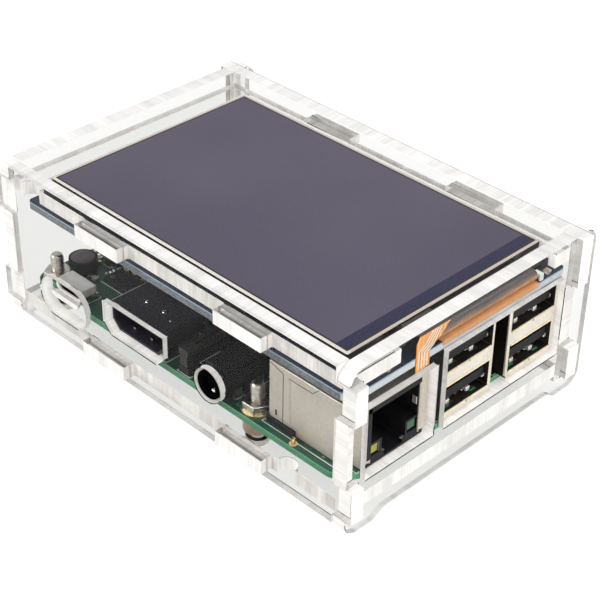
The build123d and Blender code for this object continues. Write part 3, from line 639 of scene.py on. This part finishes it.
def refined(node, name, look, slot, body=MAIN, bevel=0.0, mark=None, segments=2):
    """A clean copy of a CAD node, its edges rounded, which stands for it. mark picks a face's material."""
    bm = bmesh.new()
    bm.from_mesh(frame["nodes"][node].data)
    bmesh.ops.remove_doubles(bm, verts=bm.verts, dist=1e-6)
    bmesh.ops.dissolve_limit(bm, angle_limit=math.radians(1), verts=bm.verts, edges=bm.edges)
    for vertex in bm.verts:
        vertex.co = (vertex.co - BOARD_ORIGIN) / MM
    if mark:
        for face in bm.faces:
            face.normal_update()
            face.material_index = mark(face)
    made = piece(bm, name, look, slot, body, bevel, segments)
    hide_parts(node)


# ---- the clear case
def make_case():
    """Each plate's two faces are clear and everything cut by the laser is frosted."""
    plates = {
        "bottom_plate": (2, MAIN), "top_frame": (2, MAIN), "front_plate": (1, MAIN), "rear_plate": (1, MAIN),
        "left_end_plate": (0, "left_end"), "right_end_plate": (0, "right_end"),
    }
    for node, (axis, body) in plates.items():
        refined(
            node, f"{node}_sheet", [ACRYLIC_FACE, ACRYLIC_EDGE[axis]], "clear_acrylic", body,
            bevel=0.12, mark=lambda face, axis=axis: int(abs(face.normal[axis]) < 0.9), segments=1,
        )


# ---- fasteners
def make_fasteners():
    """Threads on the screw ends, rounded nuts, and a plated ring round each hole, above and below."""
    refined("board_nuts", "hex_nuts", ZINC, "nickel_screw", bevel=0.18)
    refined("board_screws", "cross_head_screws", ZINC, "nickel_screw", bevel=0.1)
    refined("spacers", "round_spacers", BRASS, "brass_spacer", bevel=0.15)
    threads, rings = bmesh.new(), bmesh.new()
    pitch, radius, turn_sides, plating = 0.45, 1.2, 20, 0.06
    ridge = ((-0.12, 0.0, -0.18), (0.0, 0.14, 0.0), (-0.12, 0.0, 0.18))
    nut_top = spans("board_nuts")[2][1]
    for across, up, height in solids_of("board_screws"):
        x, y = middle(across), middle(up)
        steps = int((height[1] - nut_top - 0.5) / pitch) * turn_sides
        crest = []
        for i in range(steps + 1):
            angle = 2 * math.pi * i / turn_sides
            z = nut_top + 0.2 + pitch * i / turn_sides
            fade = min(1.0, i / 6, (steps - i) / 6)
            loop = []
            for sunk, reach, rise in ridge:
                r = radius + sunk + reach * fade
                loop.append(threads.verts.new((x + r * math.cos(angle), y + r * math.sin(angle), z + rise)))
            crest.append(loop)
        for a, b in zip(crest, crest[1:]):
            for i in range(3):
                j = (i + 1) % 3
                threads.faces.new((a[i], b[i], b[j], a[j]))
        threads.faces.new(crest[0][::-1])
        threads.faces.new(crest[-1])
        for z in (0, -BOARD_THICK - plating):
            ring(rings, (x, y, z), 1.45, 3.1, plating, sides=40)
    piece(threads, "screw_threads", ZINC, "nickel_screw", smooth=60)
    piece(rings, "plated_hole_rings", COPPER_PAD, "gold_contact")


# ---- the board's own detail
def track(path):
    """Widens a path given as a start and (dx, dy) steps into points."""
    points = [Vector((*path[0], 0))]
    for step in path[1:]:
        points.append(points[-1] + Vector((*step, 0)))
    return points


def make_board_surface():
    """Raised tracks, plated through holes, printed outlines and solder on the board."""
    tracks = bmesh.new()
    bundles = [
        (9, (33.0, 27.5), (0, 0.9), [(5, 0), (3, 3), (11, 0)]),
        (8, (20.0, 39.4), (1.3, 0), [(0, 3.0), (3, 3), (0, 3.6)]),
        (7, (19.5, 24.6), (1.6, 0), [(0, -3.4), (2.2, -2.2), (0, -7.0)]),
        (6, (62.4, 30.0), (0, 1.1), [(3.2, 0), (1.6, 1.6), (2.0, 0)]),
        (5, (58.0, 28.0), (1.0, 0), [(0, -5), (3, -3), (0, -6.0)]),
        (6, (16.5, 8.0), (0.7, 0), [(0, 4.0), (-2.4, 2.4), (0, 6.0)]),
        (5, (58.2, 1.2), (0, 0.42), [(3.0, 0), (1.0, 1.0), (0.6, 0)]),
        (5, (5.4, 18.0), (0, 1.4), [(5.4, 0), (2.0, 2.0), (5.4, 0)]),
    ]
    for count, first, apart, steps in bundles:
        for i in range(count):
            start = (first[0] + apart[0] * i, first[1] + apart[1] * i)
            ribbon(tracks, track([start, *steps]), 0.24, (0, 0.035))
    piece(tracks, "copper_tracks", TRACK_GREEN, "green_board")

    holes = bmesh.new()
    rim = 0.045
    for i in range(190):
        x = 2 + 81 * (0.5 + 0.5 * math.sin(12.9898 * i + 1.3))
        y = 2 + 52 * (0.5 + 0.5 * math.sin(78.233 * i + 0.7))
        for z in (0, -BOARD_THICK - rim):
            ring(holes, (x, y, z), 0.12, 0.3, rim, sides=10)
    piece(holes, "plated_vias", COPPER_PAD, "gold_contact")

    ink = bmesh.new()
    outlined = {
        "network_socket_shield": 0.9, "usb_shell_1": 0.5, "usb_shell_2": 0.5, "video_socket_shell": 0.6,
        "audio_socket_tabs": 0.5, "camera_connector": 0.5, "display_connector": 0.5, "header_base": 0.35,
        "processor": 0.5, "usb_network_chip": 0.6, "power_socket_shell": 0.5,
    }
    for node, gap in outlined.items():
        across, up, _ = spans(node)
        left, right = max(0.3, across[0] - gap), min(84.7, across[1] + gap)
        near, far = max(0.3, up[0] - gap), min(55.7, up[1] + gap)
        corners = [(left, near, 0), (right, near, 0), (right, far, 0), (left, far, 0), (left, near, 0)]
        for a, b in zip(corners, corners[1:]):
            ribbon(ink, [a, b], 0.16, (0.0, 0.03))
    for solid in solids_of("board_chips") + solids_of("crystals"):
        across, up = (grow(span, 0.45) for span in solid[:2])
        ribbon(ink, [(across[0], up[0], 0), (across[1], up[0], 0)], 0.13, (0.0, 0.03))
        ribbon(ink, [(across[1], up[1], 0), (across[0], up[1], 0)], 0.13, (0.0, 0.03))
    piece(ink, "printed_outlines", INK, "white_ceramic")

    solder = bmesh.new()
    joint = [(0.0, -0.55), (0.22, -0.5), (0.42, -0.2), (0.75, 0.0)]
    places = [(middle(pin[0]), middle(pin[1])) for pin in solids_of("header_pins")]
    for centre in USB_CENTRES:
        places += [(71.5 + 2.6 * (i // 4), centre - 3.6 + 2.4 * (i % 4)) for i in range(8)]
        places += [(x, centre + side * 6.5) for x in (74.0, 80.0) for side in (-1, 1)]
    places += [(68.4 + 2.54 * (i % 2), 5.8 + 1.27 * i) for i in range(8)]
    places += [(76.0, 2.9), (76.0, 17.6), (33.4, 8.2), (27.0, 8.2)]
    for x, y in places:
        lathe(solder, (x, y, -BOARD_THICK), joint, sides=14, closed=False)
    piece(solder, "solder_joints", SOLDER, "tin_plate", smooth=50)


# ---- chips and small parts
def legs_round(bm, solid, pitch, foot, long):
    """Solder legs along a chip's edges, standing out by long."""
    wide, high = 0.24, 0.14
    for axis in (0, 1):
        along, over = solid[axis], solid[1 - axis]
        count = int((size(along) - 0.8) / pitch)
        for i in range(count + 1):
            leg = around(middle(along) + (i - count / 2) * pitch, wide / 2)
            for edge, way in ((over[0], -1), (over[1], 1)):
                out = tuple(sorted((edge - way * 0.1, edge + way * long)))
                x, y = (leg, out) if axis == 0 else (out, leg)
                block(bm, x, y, (foot, foot + high))


def make_chip_detail():
    """Legs of chips and crystals, corner marks, capacitor ends and the round inductor's top."""
    legs, dots = bmesh.new(), bmesh.new()
    for node, pitch in (("board_chips", 0.5), ("usb_network_chip", 0.5), ("display_board_chips", 0.65)):
        for solid in solids_of(node):
            hung = node == "display_board_chips"
            foot = solid[2][1] - 0.16 if hung else solid[2][0] + 0.02
            legs_round(legs, solid, pitch, foot, 0.7 if hung else 0.4)
    for across, up, _ in solids_of("crystals"):
        for x in (across[0] + 0.5, across[1] - 0.5):
            for y in (up[0] + 0.35, up[1] - 0.35):
                block(legs, around(x, 0.55), around(y, 0.45), (0.01, 0.16))
    piece(legs, "chip_legs", SOLDER, "tin_plate", bevel=0.03, segments=1)
    for node in ("processor", "usb_network_chip", "board_chips"):
        for across, up, height in solids_of(node):
            inset = min(1.2, size(across) * 0.17)
            radius = min(0.45, size(across) * 0.07)
            place = (across[0] + inset, up[0] + inset, height[1] - 0.02)
            ring(dots, place, radius * 0.72, radius, 0.04, sides=20)
    piece(dots, "chip_corner_marks", MARK_GREY, "chip_black")

    caps = bmesh.new()
    for node in ("capacitors", "display_board_parts", "status_leds"):
        for solid in solids_of(node):
            longest = 0 if size(solid[0]) > size(solid[1]) else 1
            low, high = solid[longest]
            end = 0.24 * (high - low)
            for cap in ((low, low + end), (high - end, high)):
                flat = [grow(span, 0.025) for span in solid[:2]]
                flat[longest] = grow(cap, 0.03)
                block(caps, *flat, (solid[2][0] + 0.01, solid[2][1] + 0.025))
    for x, y, turned in ((3.4, 13.6, 0), (4.8, 11.8, 1), (9.0, 13.3, 0), (10.6, 13.5, 1), (10.1, 11.9, 0),
                         (11.9, 12.0, 1), (13.9, 4.5, 0), (10.6, 5.7, 1), (17.6, 4.4, 0), (19.4, 6.2, 1)):
        for way in (-0.42, 0.42):
            if turned:
                block(caps, around(x + way, 0.25), around(y, 0.4), (0.0, 0.75))
            else:
                block(caps, around(x, 0.4), around(y + way, 0.25), (0.0, 0.75))
    piece(caps, "capacitor_ends", SOLDER, "tin_plate", bevel=0.06)

    coil = bmesh.new()
    across, up, height = solids_of("power_inductors")[0]
    top = (middle(across), middle(up), height[1])
    lathe(coil, top, [(2.45, 0.0), (2.3, 0.09), (0.8, 0.11), (0.5, 0.03)], sides=48, closed=False)
    piece(coil, "inductor_ferrite_top", FERRITE, "chip_black", smooth=50)


# ---- sockets
def strokes(points, half, lead):
    """An outline for each stretch of a flat path: half to each side and past the end, lead before it."""
    for (a, b), (c, d) in zip(points, points[1:]):
        way = Vector((c - a, d - b)).normalized()
        (u, v), (back_u, back_v) = way * half, way * lead
        yield [
            (a - back_u - v, b - back_v + u), (a - back_u + v, b - back_v - u),
            (c + u + v, d + v - u), (c + u - v, d + v + u),
        ]


def plane_line(bm, points, width, y):
    """A raised line on a face that looks along Y, through (x, z) points, over the span y."""
    for outline in strokes(points, width / 2, width / 2):
        loft(bm, *([(x, level, z) for x, z in outline] for level in y))


def make_network_socket():
    """The shield with its folded seams, locking slot and mouth, and the moulded foot below it."""
    refined("network_socket_shield", "shield_body", SHIELD, "satin_shield", bevel=0.22)
    (left, right), (near, far), (low, top) = spans("network_socket_shield")
    seams, ridges = bmesh.new(), bmesh.new()
    fold = left + 3.5
    for skin, way in ((near, -1), (far, 1)):
        seam = tuple(sorted((skin + way * 0.03, skin - way * 0.02)))
        plane_line(seams, [(left + 0.1, top - 0.3), (fold, top - 1.3), (fold, low + 0.1)], 0.15, seam)
        lock = [(fold + 1.4, top - 1.6), (fold + 7.1, top - 1.6), (fold + 8.6, top - 0.1)]
        plane_line(seams, lock, 0.13, seam)
        plane_line(seams, [(left + 1.8, 3.2), (left + 1.8, 2.5)], 0.5, seam)
        ridge = tuple(sorted((skin + way * 0.045, skin - way * 0.02)))
        plane_line(ridges, [(fold + 1.5, top - 1.9), (fold + 1.5, low + 0.3)], 0.12, ridge)
        plane_line(ridges, [(fold + 1.9, top - 2.2), (fold + 1.9, low + 0.3)], 0.08, ridge)
    piece(seams, "shield_seams", SEAMS_AND_PAINTED_SHADE, "dark_steel")
    piece(ridges, "shield_ridges", SHIELD, "satin_shield")
    boxes("network_socket_foot", NYLON, "socket_black", [
        ((left - 0.4, left + 6.6), (near - 0.35, near + 0.6), (0.02, low)),
        ((left + 6.7, right - 0.6), (near - 0.05, near + 0.6), (0.02, 0.3)),
        (around(left, 0.4), (near - 0.35, far + 0.2), (0.02, low)),
        ((left + 5.6, left + 6.6), (near - 0.75, near), (0.02, 0.9)),
    ], bevel=0.12)
    boxes("shield_skirt", SHIELD, "satin_shield", [
        ((left + 6.7, right - 0.2), (near + 0.01, near + 0.3), (0.31, low + 0.3)),
    ], bevel=0.04)
    boxes("shield_mouth_springs", SHIELD, "satin_shield", [
        ((right - 0.5, right - 0.12), (16.35, 16.62), (0.9, 12.1)),
        ((right - 0.5, right - 0.12), (3.98, 4.25), (0.9, 12.1)),
        ((right - 1.6, right - 0.55), (16.0, 16.3), (7.0, 8.6)),
    ], bevel=0.08)
    boxes("network_mouth_moulding", NYLON, "socket_black", [
        ((right - 0.3, right + 0.04), (3.1, 16.5), (12.0, 13.1)),
        ((right - 0.3, right + 0.04), (3.1, 4.1), (1.9, 13.1)),
    ], bevel=0.05)
    frames = []
    depth = (right - 1.0, right - 0.5)
    for led in ("network_led_left", "network_led_right"):
        y, z = spans(led)[1:]
        if led.endswith("left"):
            inner, step = (y[1], y[1] + 0.35), (y[1] + 0.35, y[1] + 1.45)
        else:
            inner, step = (y[0] - 0.35, y[0]), (y[0] - 1.45, y[0] - 0.35)
        frames += [
            (depth, grow(y, 0.35), (z[1] + 0.12, z[1] + 0.3)),
            (depth, inner, (z[0] - 0.2, z[1] + 0.3)),
            (depth, step, (z[0] - 0.7, z[0] - 0.45)),
        ]
    boxes("led_window_frames", MARK_GREY, "chip_black", frames, bevel=0.05)


def in_shell(face, box):
    """1 for a face inside a socket's shell and 0 for one on its skin or rim. box is three spans."""
    x, y, z = face.calc_center_median()
    across, up, height = box
    deep = x < across[1] - 0.05 and up[0] + 0.15 < y < up[1] - 0.15
    return int(deep and height[0] + 0.15 < z < height[1] - 0.15)


def make_usb_sockets():
    """Rolled lips, contact springs that press on a plug, and the seam down the lower lip."""
    lips, springs, gaps, tips, windows = (bmesh.new() for _ in range(5))
    decks = [(1.5, 7.3), (10.5, 15.5)]
    for number in (1, 2):
        box = spans(f"usb_shell_{number}")
        front, centre = box[0][1], middle(box[1])
        refined(
            f"usb_shell_{number}", f"usb_case_{number}", [SHELL, INSIDE_SHADE], "bright_shell",
            bevel=0.12, mark=lambda face, box=box: in_shell(face, box), segments=1,
        )
        for low, high in decks:
            for z in (low - 0.18, high + 0.18):
                bar = [(0.001, -6.0), (0.22, -6.0), (0.22, 6.0), (0.001, 6.0)]
                lathe(lips, (front - 0.02, centre, z), bar, (0, 1, 0), 12, closed=False)
            for offset in (-3.9, 1.7):
                y = around(centre + offset, 0.5)
                block(springs, (front - 1.9, front - 1.0), y, (low + 0.5, low + 1.45))
                block(springs, (front - 5.2, front - 1.9), grow(y, 0.15), (low + 0.25, low + 0.5))
            block(springs, (front - 1.9, front - 0.9), (centre + 5.4, centre + 6.1), (low + 1.6, low + 2.3))
            block(springs, (front - 5.0, front - 1.9), (centre + 5.85, centre + 6.1), (low + 1.5, low + 2.4))
            block(gaps, (front - 0.3, front + 0.21), around(centre, 0.09), (low - 0.36, low - 0.02))
            for offset in (-2.9, 3.0):
                slot = around(centre + offset, 0.8)
                block(gaps, (front - 2.9, front - 1.2), slot, (low + 0.01, low + 0.06))
            for offset in (-2.3, -0.4):
                y = around(centre + offset, 0.4)
                block(tips, (front - 3.1, front - 1.9), y, (low + 0.2, low + 1.0))
        # openings in the shell floor where the board shows, coloured as a painted glint
        ground = (decks[0][0] + 0.01, decks[0][0] + 0.05)
        for low, high in ((-4.9, -3.3), (2.4, 3.9)):
            block(windows, (front - 1.7, front - 0.9), (centre + low, centre + high), ground)
    piece(lips, "usb_rolled_lips", LIP_GOLD, "bright_shell", smooth=50)
    piece(windows, "usb_floor_openings_painted_glint", PAINTED_GREEN_GLINT, "green_board")
    piece(springs, "usb_spring_tabs", BRIGHT_SPRING, "bright_shell", bevel=0.1)
    piece(gaps, "usb_lip_seams", SEAMS_AND_PAINTED_SHADE, "dark_steel")
    piece(tips, "usb_contact_tips", GOLD, "gold_contact", bevel=0.12)


def make_front_sockets():
    """Video, power and audio sockets: dimples, spring cuts, painted highlights along top edges, barrel nose
    and ribs.
    """
    # the video case takes the painted reflection colour
    refined("video_socket_shell", "video_case", VIDEO_PAINTED_REFLECTION, "dark_steel", bevel=0.14)
    refined("power_socket_shell", "power_case", POWER_TIN, "tin_plate", bevel=0.1)
    refined("audio_socket_body", "audio_case", NYLON, "socket_black", bevel=0.12)
    (video_left, _), (_, video_far), (_, video_top) = spans("video_socket_shell")
    dots, cuts = bmesh.new(), bmesh.new()
    top = video_top - 0.1
    dome = [(0.5, -0.04), (0.42, 0.1), (0.2, 0.2), (0.02, 0.22)]
    for x, y, scale in ((29.5, 5.1, 1.0), (34.3, 5.2, 1.0), (37.3, 4.1, 0.5)):
        lathe(dots, (x, y, top), [(r * scale, h * scale) for r, h in dome], sides=20, closed=False)
    groove = (top - 0.02, top + 0.03)
    for x in (29.5, 34.3):
        block(cuts, around(x, 1.1), (4.2, 4.32), groove)
        block(cuts, (x - 1.1, x - 0.98), (4.3, 7.4), groove)
        block(cuts, (x + 0.98, x + 1.1), (4.3, 7.4), groove)
    for x in (29.0, 34.0):
        block(dots, around(x, 0.3), (0.3, 0.8), (1.0, 1.5))
    piece(dots, "video_case_dimples", POLISHED, "tin_plate", smooth=60)
    piece(cuts, "video_case_cuts", SEAMS_AND_PAINTED_SHADE, "dark_steel")
    # painted highlights: pale strips along folded top edges of the front sockets
    boxes("painted_edge_highlights", EDGE_HIGHLIGHT_GREY, "dark_steel", [
        ((video_left - 0.02, video_left + 0.16), (0.0, video_far), (top, video_top + 0.02)),
        ((50.4, 50.52), (-0.4, 4.6), (5.84, 5.92)),
        ((50.4, 56.6), (-0.5, -0.38), (5.84, 5.92)),
    ], bevel=0.03)
    across, _, height = spans("audio_socket_body")
    centre, bore_height = middle(across), 2.9
    boxes("audio_contact_spring", BRIGHT_SPRING, "tin_plate", [
        ((centre + 0.7, centre + 1.8), (-2.7, -2.0), (bore_height - 0.95, bore_height - 0.55)),
    ], bevel=0.08)
    barrel = bmesh.new()
    ring(barrel, (centre, -1.4, bore_height), 1.78, 2.95, 1.5, (0, -1, 0), 48)
    piece(barrel, "audio_barrel_nose", PITCH, "socket_black", bevel=0.12)
    flange = bmesh.new()
    outline = [(-4.2, -0.5), (-3.4, -0.9), (3.4, -0.9), (4.2, -0.5), (4.2, 0.3), (-4.2, 0.3)]
    mouth = middle(spans("power_socket_shell")[0])
    loft(
        flange, [(mouth + dx, -2.3, dz) for dx, dz in outline],
        [(mouth + dx * 0.9, -1.15, dz * 0.5 + 0.1) for dx, dz in outline],
    )
    piece(flange, "power_mouth_lip", POWER_TIN, "tin_plate", bevel=0.1)
    ribs = []
    for y in (4.4, 6.2, 8.6, 10.8):
        for x in ((across[1] - 0.02, across[1] + 0.12), (across[0] - 0.12, across[0] + 0.02)):
            ribs.append((x, (y, y + 0.35), (0.4, height[1] - 1.0)))
    boxes("audio_case_ribs", NYLON, "socket_black", ribs, bevel=0.05)
    earth = (73.3, 0.85, 0)
    plating, pin = bmesh.new(), bmesh.new()
    ring(plating, earth, 0.38, 0.78, 0.07, sides=28)
    piece(plating, "earth_ring", COPPER_PAD, "gold_contact")
    lathe(pin, earth, [(0.3, 0.0), (0.26, 0.8), (0.1, 0.95)], sides=16, closed=False)
    block(pin, (72.4, 73.2), (1.35, 1.6), (0.02, 0.7))
    piece(pin, "earth_pin", GOLD, "gold_contact", smooth=50)


def make_ribbon_connectors():
    """Solder feet and ribs on the camera and display connectors."""
    feet, ribs = [], []
    for node in ("camera_connector", "display_connector"):
        across, up, height = spans(node)
        for i in range(15):
            y = middle(up) + (i - 7)
            feet.append(((across[0] - 0.8, across[0] + 0.2), around(y, 0.15), (0.01, 0.16)))
            for x in ((across[1] - 0.02, across[1] + 0.1), (across[0] - 0.1, across[0] + 0.02)):
                ribs.append((x, around(y, 0.14), (0.4, height[1] - 0.5)))
        for y in (up[0] + 0.6, up[1] - 0.6):
            feet.append((grow(across, 0.5), around(y, 0.5), (0.01, 0.14)))
    boxes("ribbon_connector_feet", SOLDER, "tin_plate", feet, bevel=0.03, segments=1)
    boxes("ribbon_connector_ribs", NYLON, "socket_black", ribs, bevel=0.03, segments=1)


# ---- display cables
def make_display_cables():
    """The touch layer's tail with its conductors and a band of painted shade at its fold, and the end and
    fold of the wide display ribbon.
    """
    (inner, face), (tail_low, _), (low, high) = spans("touch_tail")
    near = tail_low - 0.4
    outline = [
        (near, low), (near + 3.5, low), (near + 3.5, 18.6), (near + 6.0, 19.6),
        (near + 8.4, high), (near + 0.9, high), (near, 20.6),
    ]
    tail = bmesh.new()
    loft(tail, *([(x, y, z) for y, z in outline] for x in (face - 0.2, face)))
    made = piece(tail, "touch_tail_film", TAIL, "orange_flex", bevel=0.05)
    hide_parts("touch_tail")
    # painted shade: a near-black band where the tail folds over at its top
    boxes("touch_tail_root", SEAMS_AND_PAINTED_SHADE, "orange_flex", [
        ((inner, face - 0.05), (near + 0.9, near + 8.4), (high - 0.2, high)),
    ], bevel=0.04)
    lines = bmesh.new()
    for i in range(4):
        y = near + 0.6 + 0.72 * i
        turn = 18.9 - 0.3 * i
        path = [(y, low + 0.3), (y, turn), (y + 1.6, turn + 0.9), (y + 3.3, high - 0.15)]
        for outline in strokes(path, 0.13, 0):
            loft(lines, *([(x, y, z) for y, z in outline] for x in (face - 0.02, face + 0.04)))
    piece(lines, "touch_tail_conductors", PALE_LINE, "tin_plate")
    _, (ribbon_near, ribbon_far), _ = spans("display_flex")
    boxes("ribbon_end_tape", INK, "white_ceramic", [
        ((83.2, 84.9), (ribbon_far + 0.4, ribbon_far + 1.4), (17.8, 19.3)),
    ], bevel=0.1)
    skirt = (ribbon_near + 0.3, ribbon_far - 0.3)
    boxes("ribbon_skirt", FLEX, "orange_flex", [
        ((83.0, 85.25), skirt, (17.82, 18.1)),
        ((85.04, 85.25), skirt, (17.1, 17.82)),
    ], bevel=0.08)


# ---- display board detail
def make_display_board_detail():
    """The panel's pressed frame with painted shade on its +X side, pads under the display board and its
    header joints on top.
    """
    # painted shade: the can's faces that look towards +X are near-black
    refined(
        "lcd_panel", "lcd_can", [PRESSED, SEAMS_AND_PAINTED_SHADE], "lcd_frame", bevel=0.08,
        mark=lambda face: int(face.normal.x > 0.5),
    )
    (left, _), (near, _), (low, top) = spans("display_board")
    boxes("display_board_pads", SOLDER, "tin_plate", [
        (around(left + 2.5 + 2.05 * i, 0.5), (near + 0.5, near + 1.3), (low - 0.04, low)) for i in range(40)
    ])
    joints = bmesh.new()
    centre = middle(spans("display_socket")[0])
    for i in range(13):
        for y in (51.23, 53.77):
            drop = [(0.8, 0.0), (0.5, 0.15), (0.3, 0.5), (0.02, 0.55)]
            lathe(joints, (centre + (i - 6) * 2.54, y, top), drop, sides=12, closed=False)
    piece(joints, "display_board_joints", SOLDER, "tin_plate", smooth=50)


# ---- memory card
def make_card_detail():
    """Grip ridges under the card's end and the slot's pressed windows."""
    across, up, height = spans("memory_card")
    skin = (height[0] - 0.05, height[0] + 0.02)
    grip = []
    for i in range(3):
        x = across[0] + 0.35 + 0.4 * i
        grip.append(((x, x + 0.2), around(middle(up), 4.2), skin))
    boxes("card_grip_ridges", CARD, "card_black", grip, body="card", bevel=0.03)
    _, up, height = spans("card_slot")
    skin = (height[0] - 0.02, height[0] + 0.03)
    boxes("card_slot_windows", SEAMS_AND_PAINTED_SHADE, "dark_steel", [
        ((9.8, 12.4), around(middle(up) + (i - 2) * 2.1, 0.45), skin) for i in range(5)
    ])


# ---- camera, light and floor
def make_camera():
    """The photo's camera, as fitted to the board's outline and sockets."""
    azimuth, elevation, roll = (math.radians(a) for a in (44.75, 34.5, 0.99))
    level = math.cos(elevation)
    forward = Vector((-math.sin(azimuth) * level, math.cos(azimuth) * level, -math.sin(elevation)))
    right = Vector((math.cos(azimuth), math.sin(azimuth), 0))
    up = right.cross(forward)
    data = bpy.data.cameras.new("camera")
    data.sensor_width = 36
    data.lens = 95.28
    data.clip_start = 0.01
    camera = bpy.data.objects.new("camera", data)
    x_axis = right * math.cos(roll) + up * math.sin(roll)
    y_axis = up * math.cos(roll) - right * math.sin(roll)
    turn = Matrix((x_axis, y_axis, -forward)).transposed().to_4x4()
    camera.matrix_world = Matrix.Translation((0.18345, -0.181125, 0.1885)) @ turn
    bpy.context.scene.collection.objects.link(camera)
    bpy.context.scene.camera = camera


def make_light(name, place, width, height, power):
    """A flat lamp that shines on the middle of the case."""
    target = Vector((0, 0, 0.02))
    data = bpy.data.lights.new(name, "AREA")
    data.shape = "RECTANGLE"
    data.size = width
    data.size_y = height
    data.energy = power
    lamp = bpy.data.objects.new(name, data)
    lamp.location = place
    lamp.rotation_euler = (target - Vector(place)).to_track_quat("-Z", "Y").to_euler()
    bpy.context.scene.collection.objects.link(lamp)


def make_studio():
    """A white world, three lamps and a floor that mostly glows, so its reflection stays even."""
    world = bpy.data.worlds.new("studio")
    bpy.context.scene.world = world
    world.use_nodes = True
    background = world.node_tree.nodes["Background"]
    background.inputs["Color"].default_value = (1.0, 1.0, 1.0, 1)
    background.inputs["Strength"].default_value = 0.75
    make_light("overhead", (0.05, 0.1, 0.55), 0.6, 0.6, 2.1)
    make_light("left_front", (-0.35, -0.5, 0.3), 0.4, 0.3, 2.2)
    make_light("right_front", (0.55, -0.15, 0.22), 0.3, 0.3, 1.25)
    bm = bmesh.new()
    bmesh.ops.create_grid(bm, x_segments=1, y_segments=1, size=3.0)
    mesh = bpy.data.meshes.new("floor")
    bm.to_mesh(mesh)
    bm.free()
    floor = bpy.data.objects.new("floor", mesh)
    floor.location.z = cad_box[0][2]
    look, tree, shader = material("pale_floor", roughness=0.7, Emission_Strength=0.86)
    shader.inputs["Emission Color"].default_value = (1, 1, 0.99, 1)
    tint = ramp(tree, noise_field(tree, 40, 2.0), ((0.3, (0.145,) * 3), (0.7, (0.155,) * 3)))
    tree.links.new(tint, shader.inputs["Base Color"])
    mesh.materials.append(look)
    bpy.context.scene.collection.objects.link(floor)
    bpy.context.scene.view_settings.view_transform = "Standard"


dress_cad_nodes()
make_case()
make_fasteners()
make_board_surface()
make_chip_detail()
make_network_socket()
make_usb_sockets()
make_front_sockets()
make_ribbon_connectors()
make_display_cables()
make_display_board_detail()
make_card_detail()
make_camera()
make_studio()
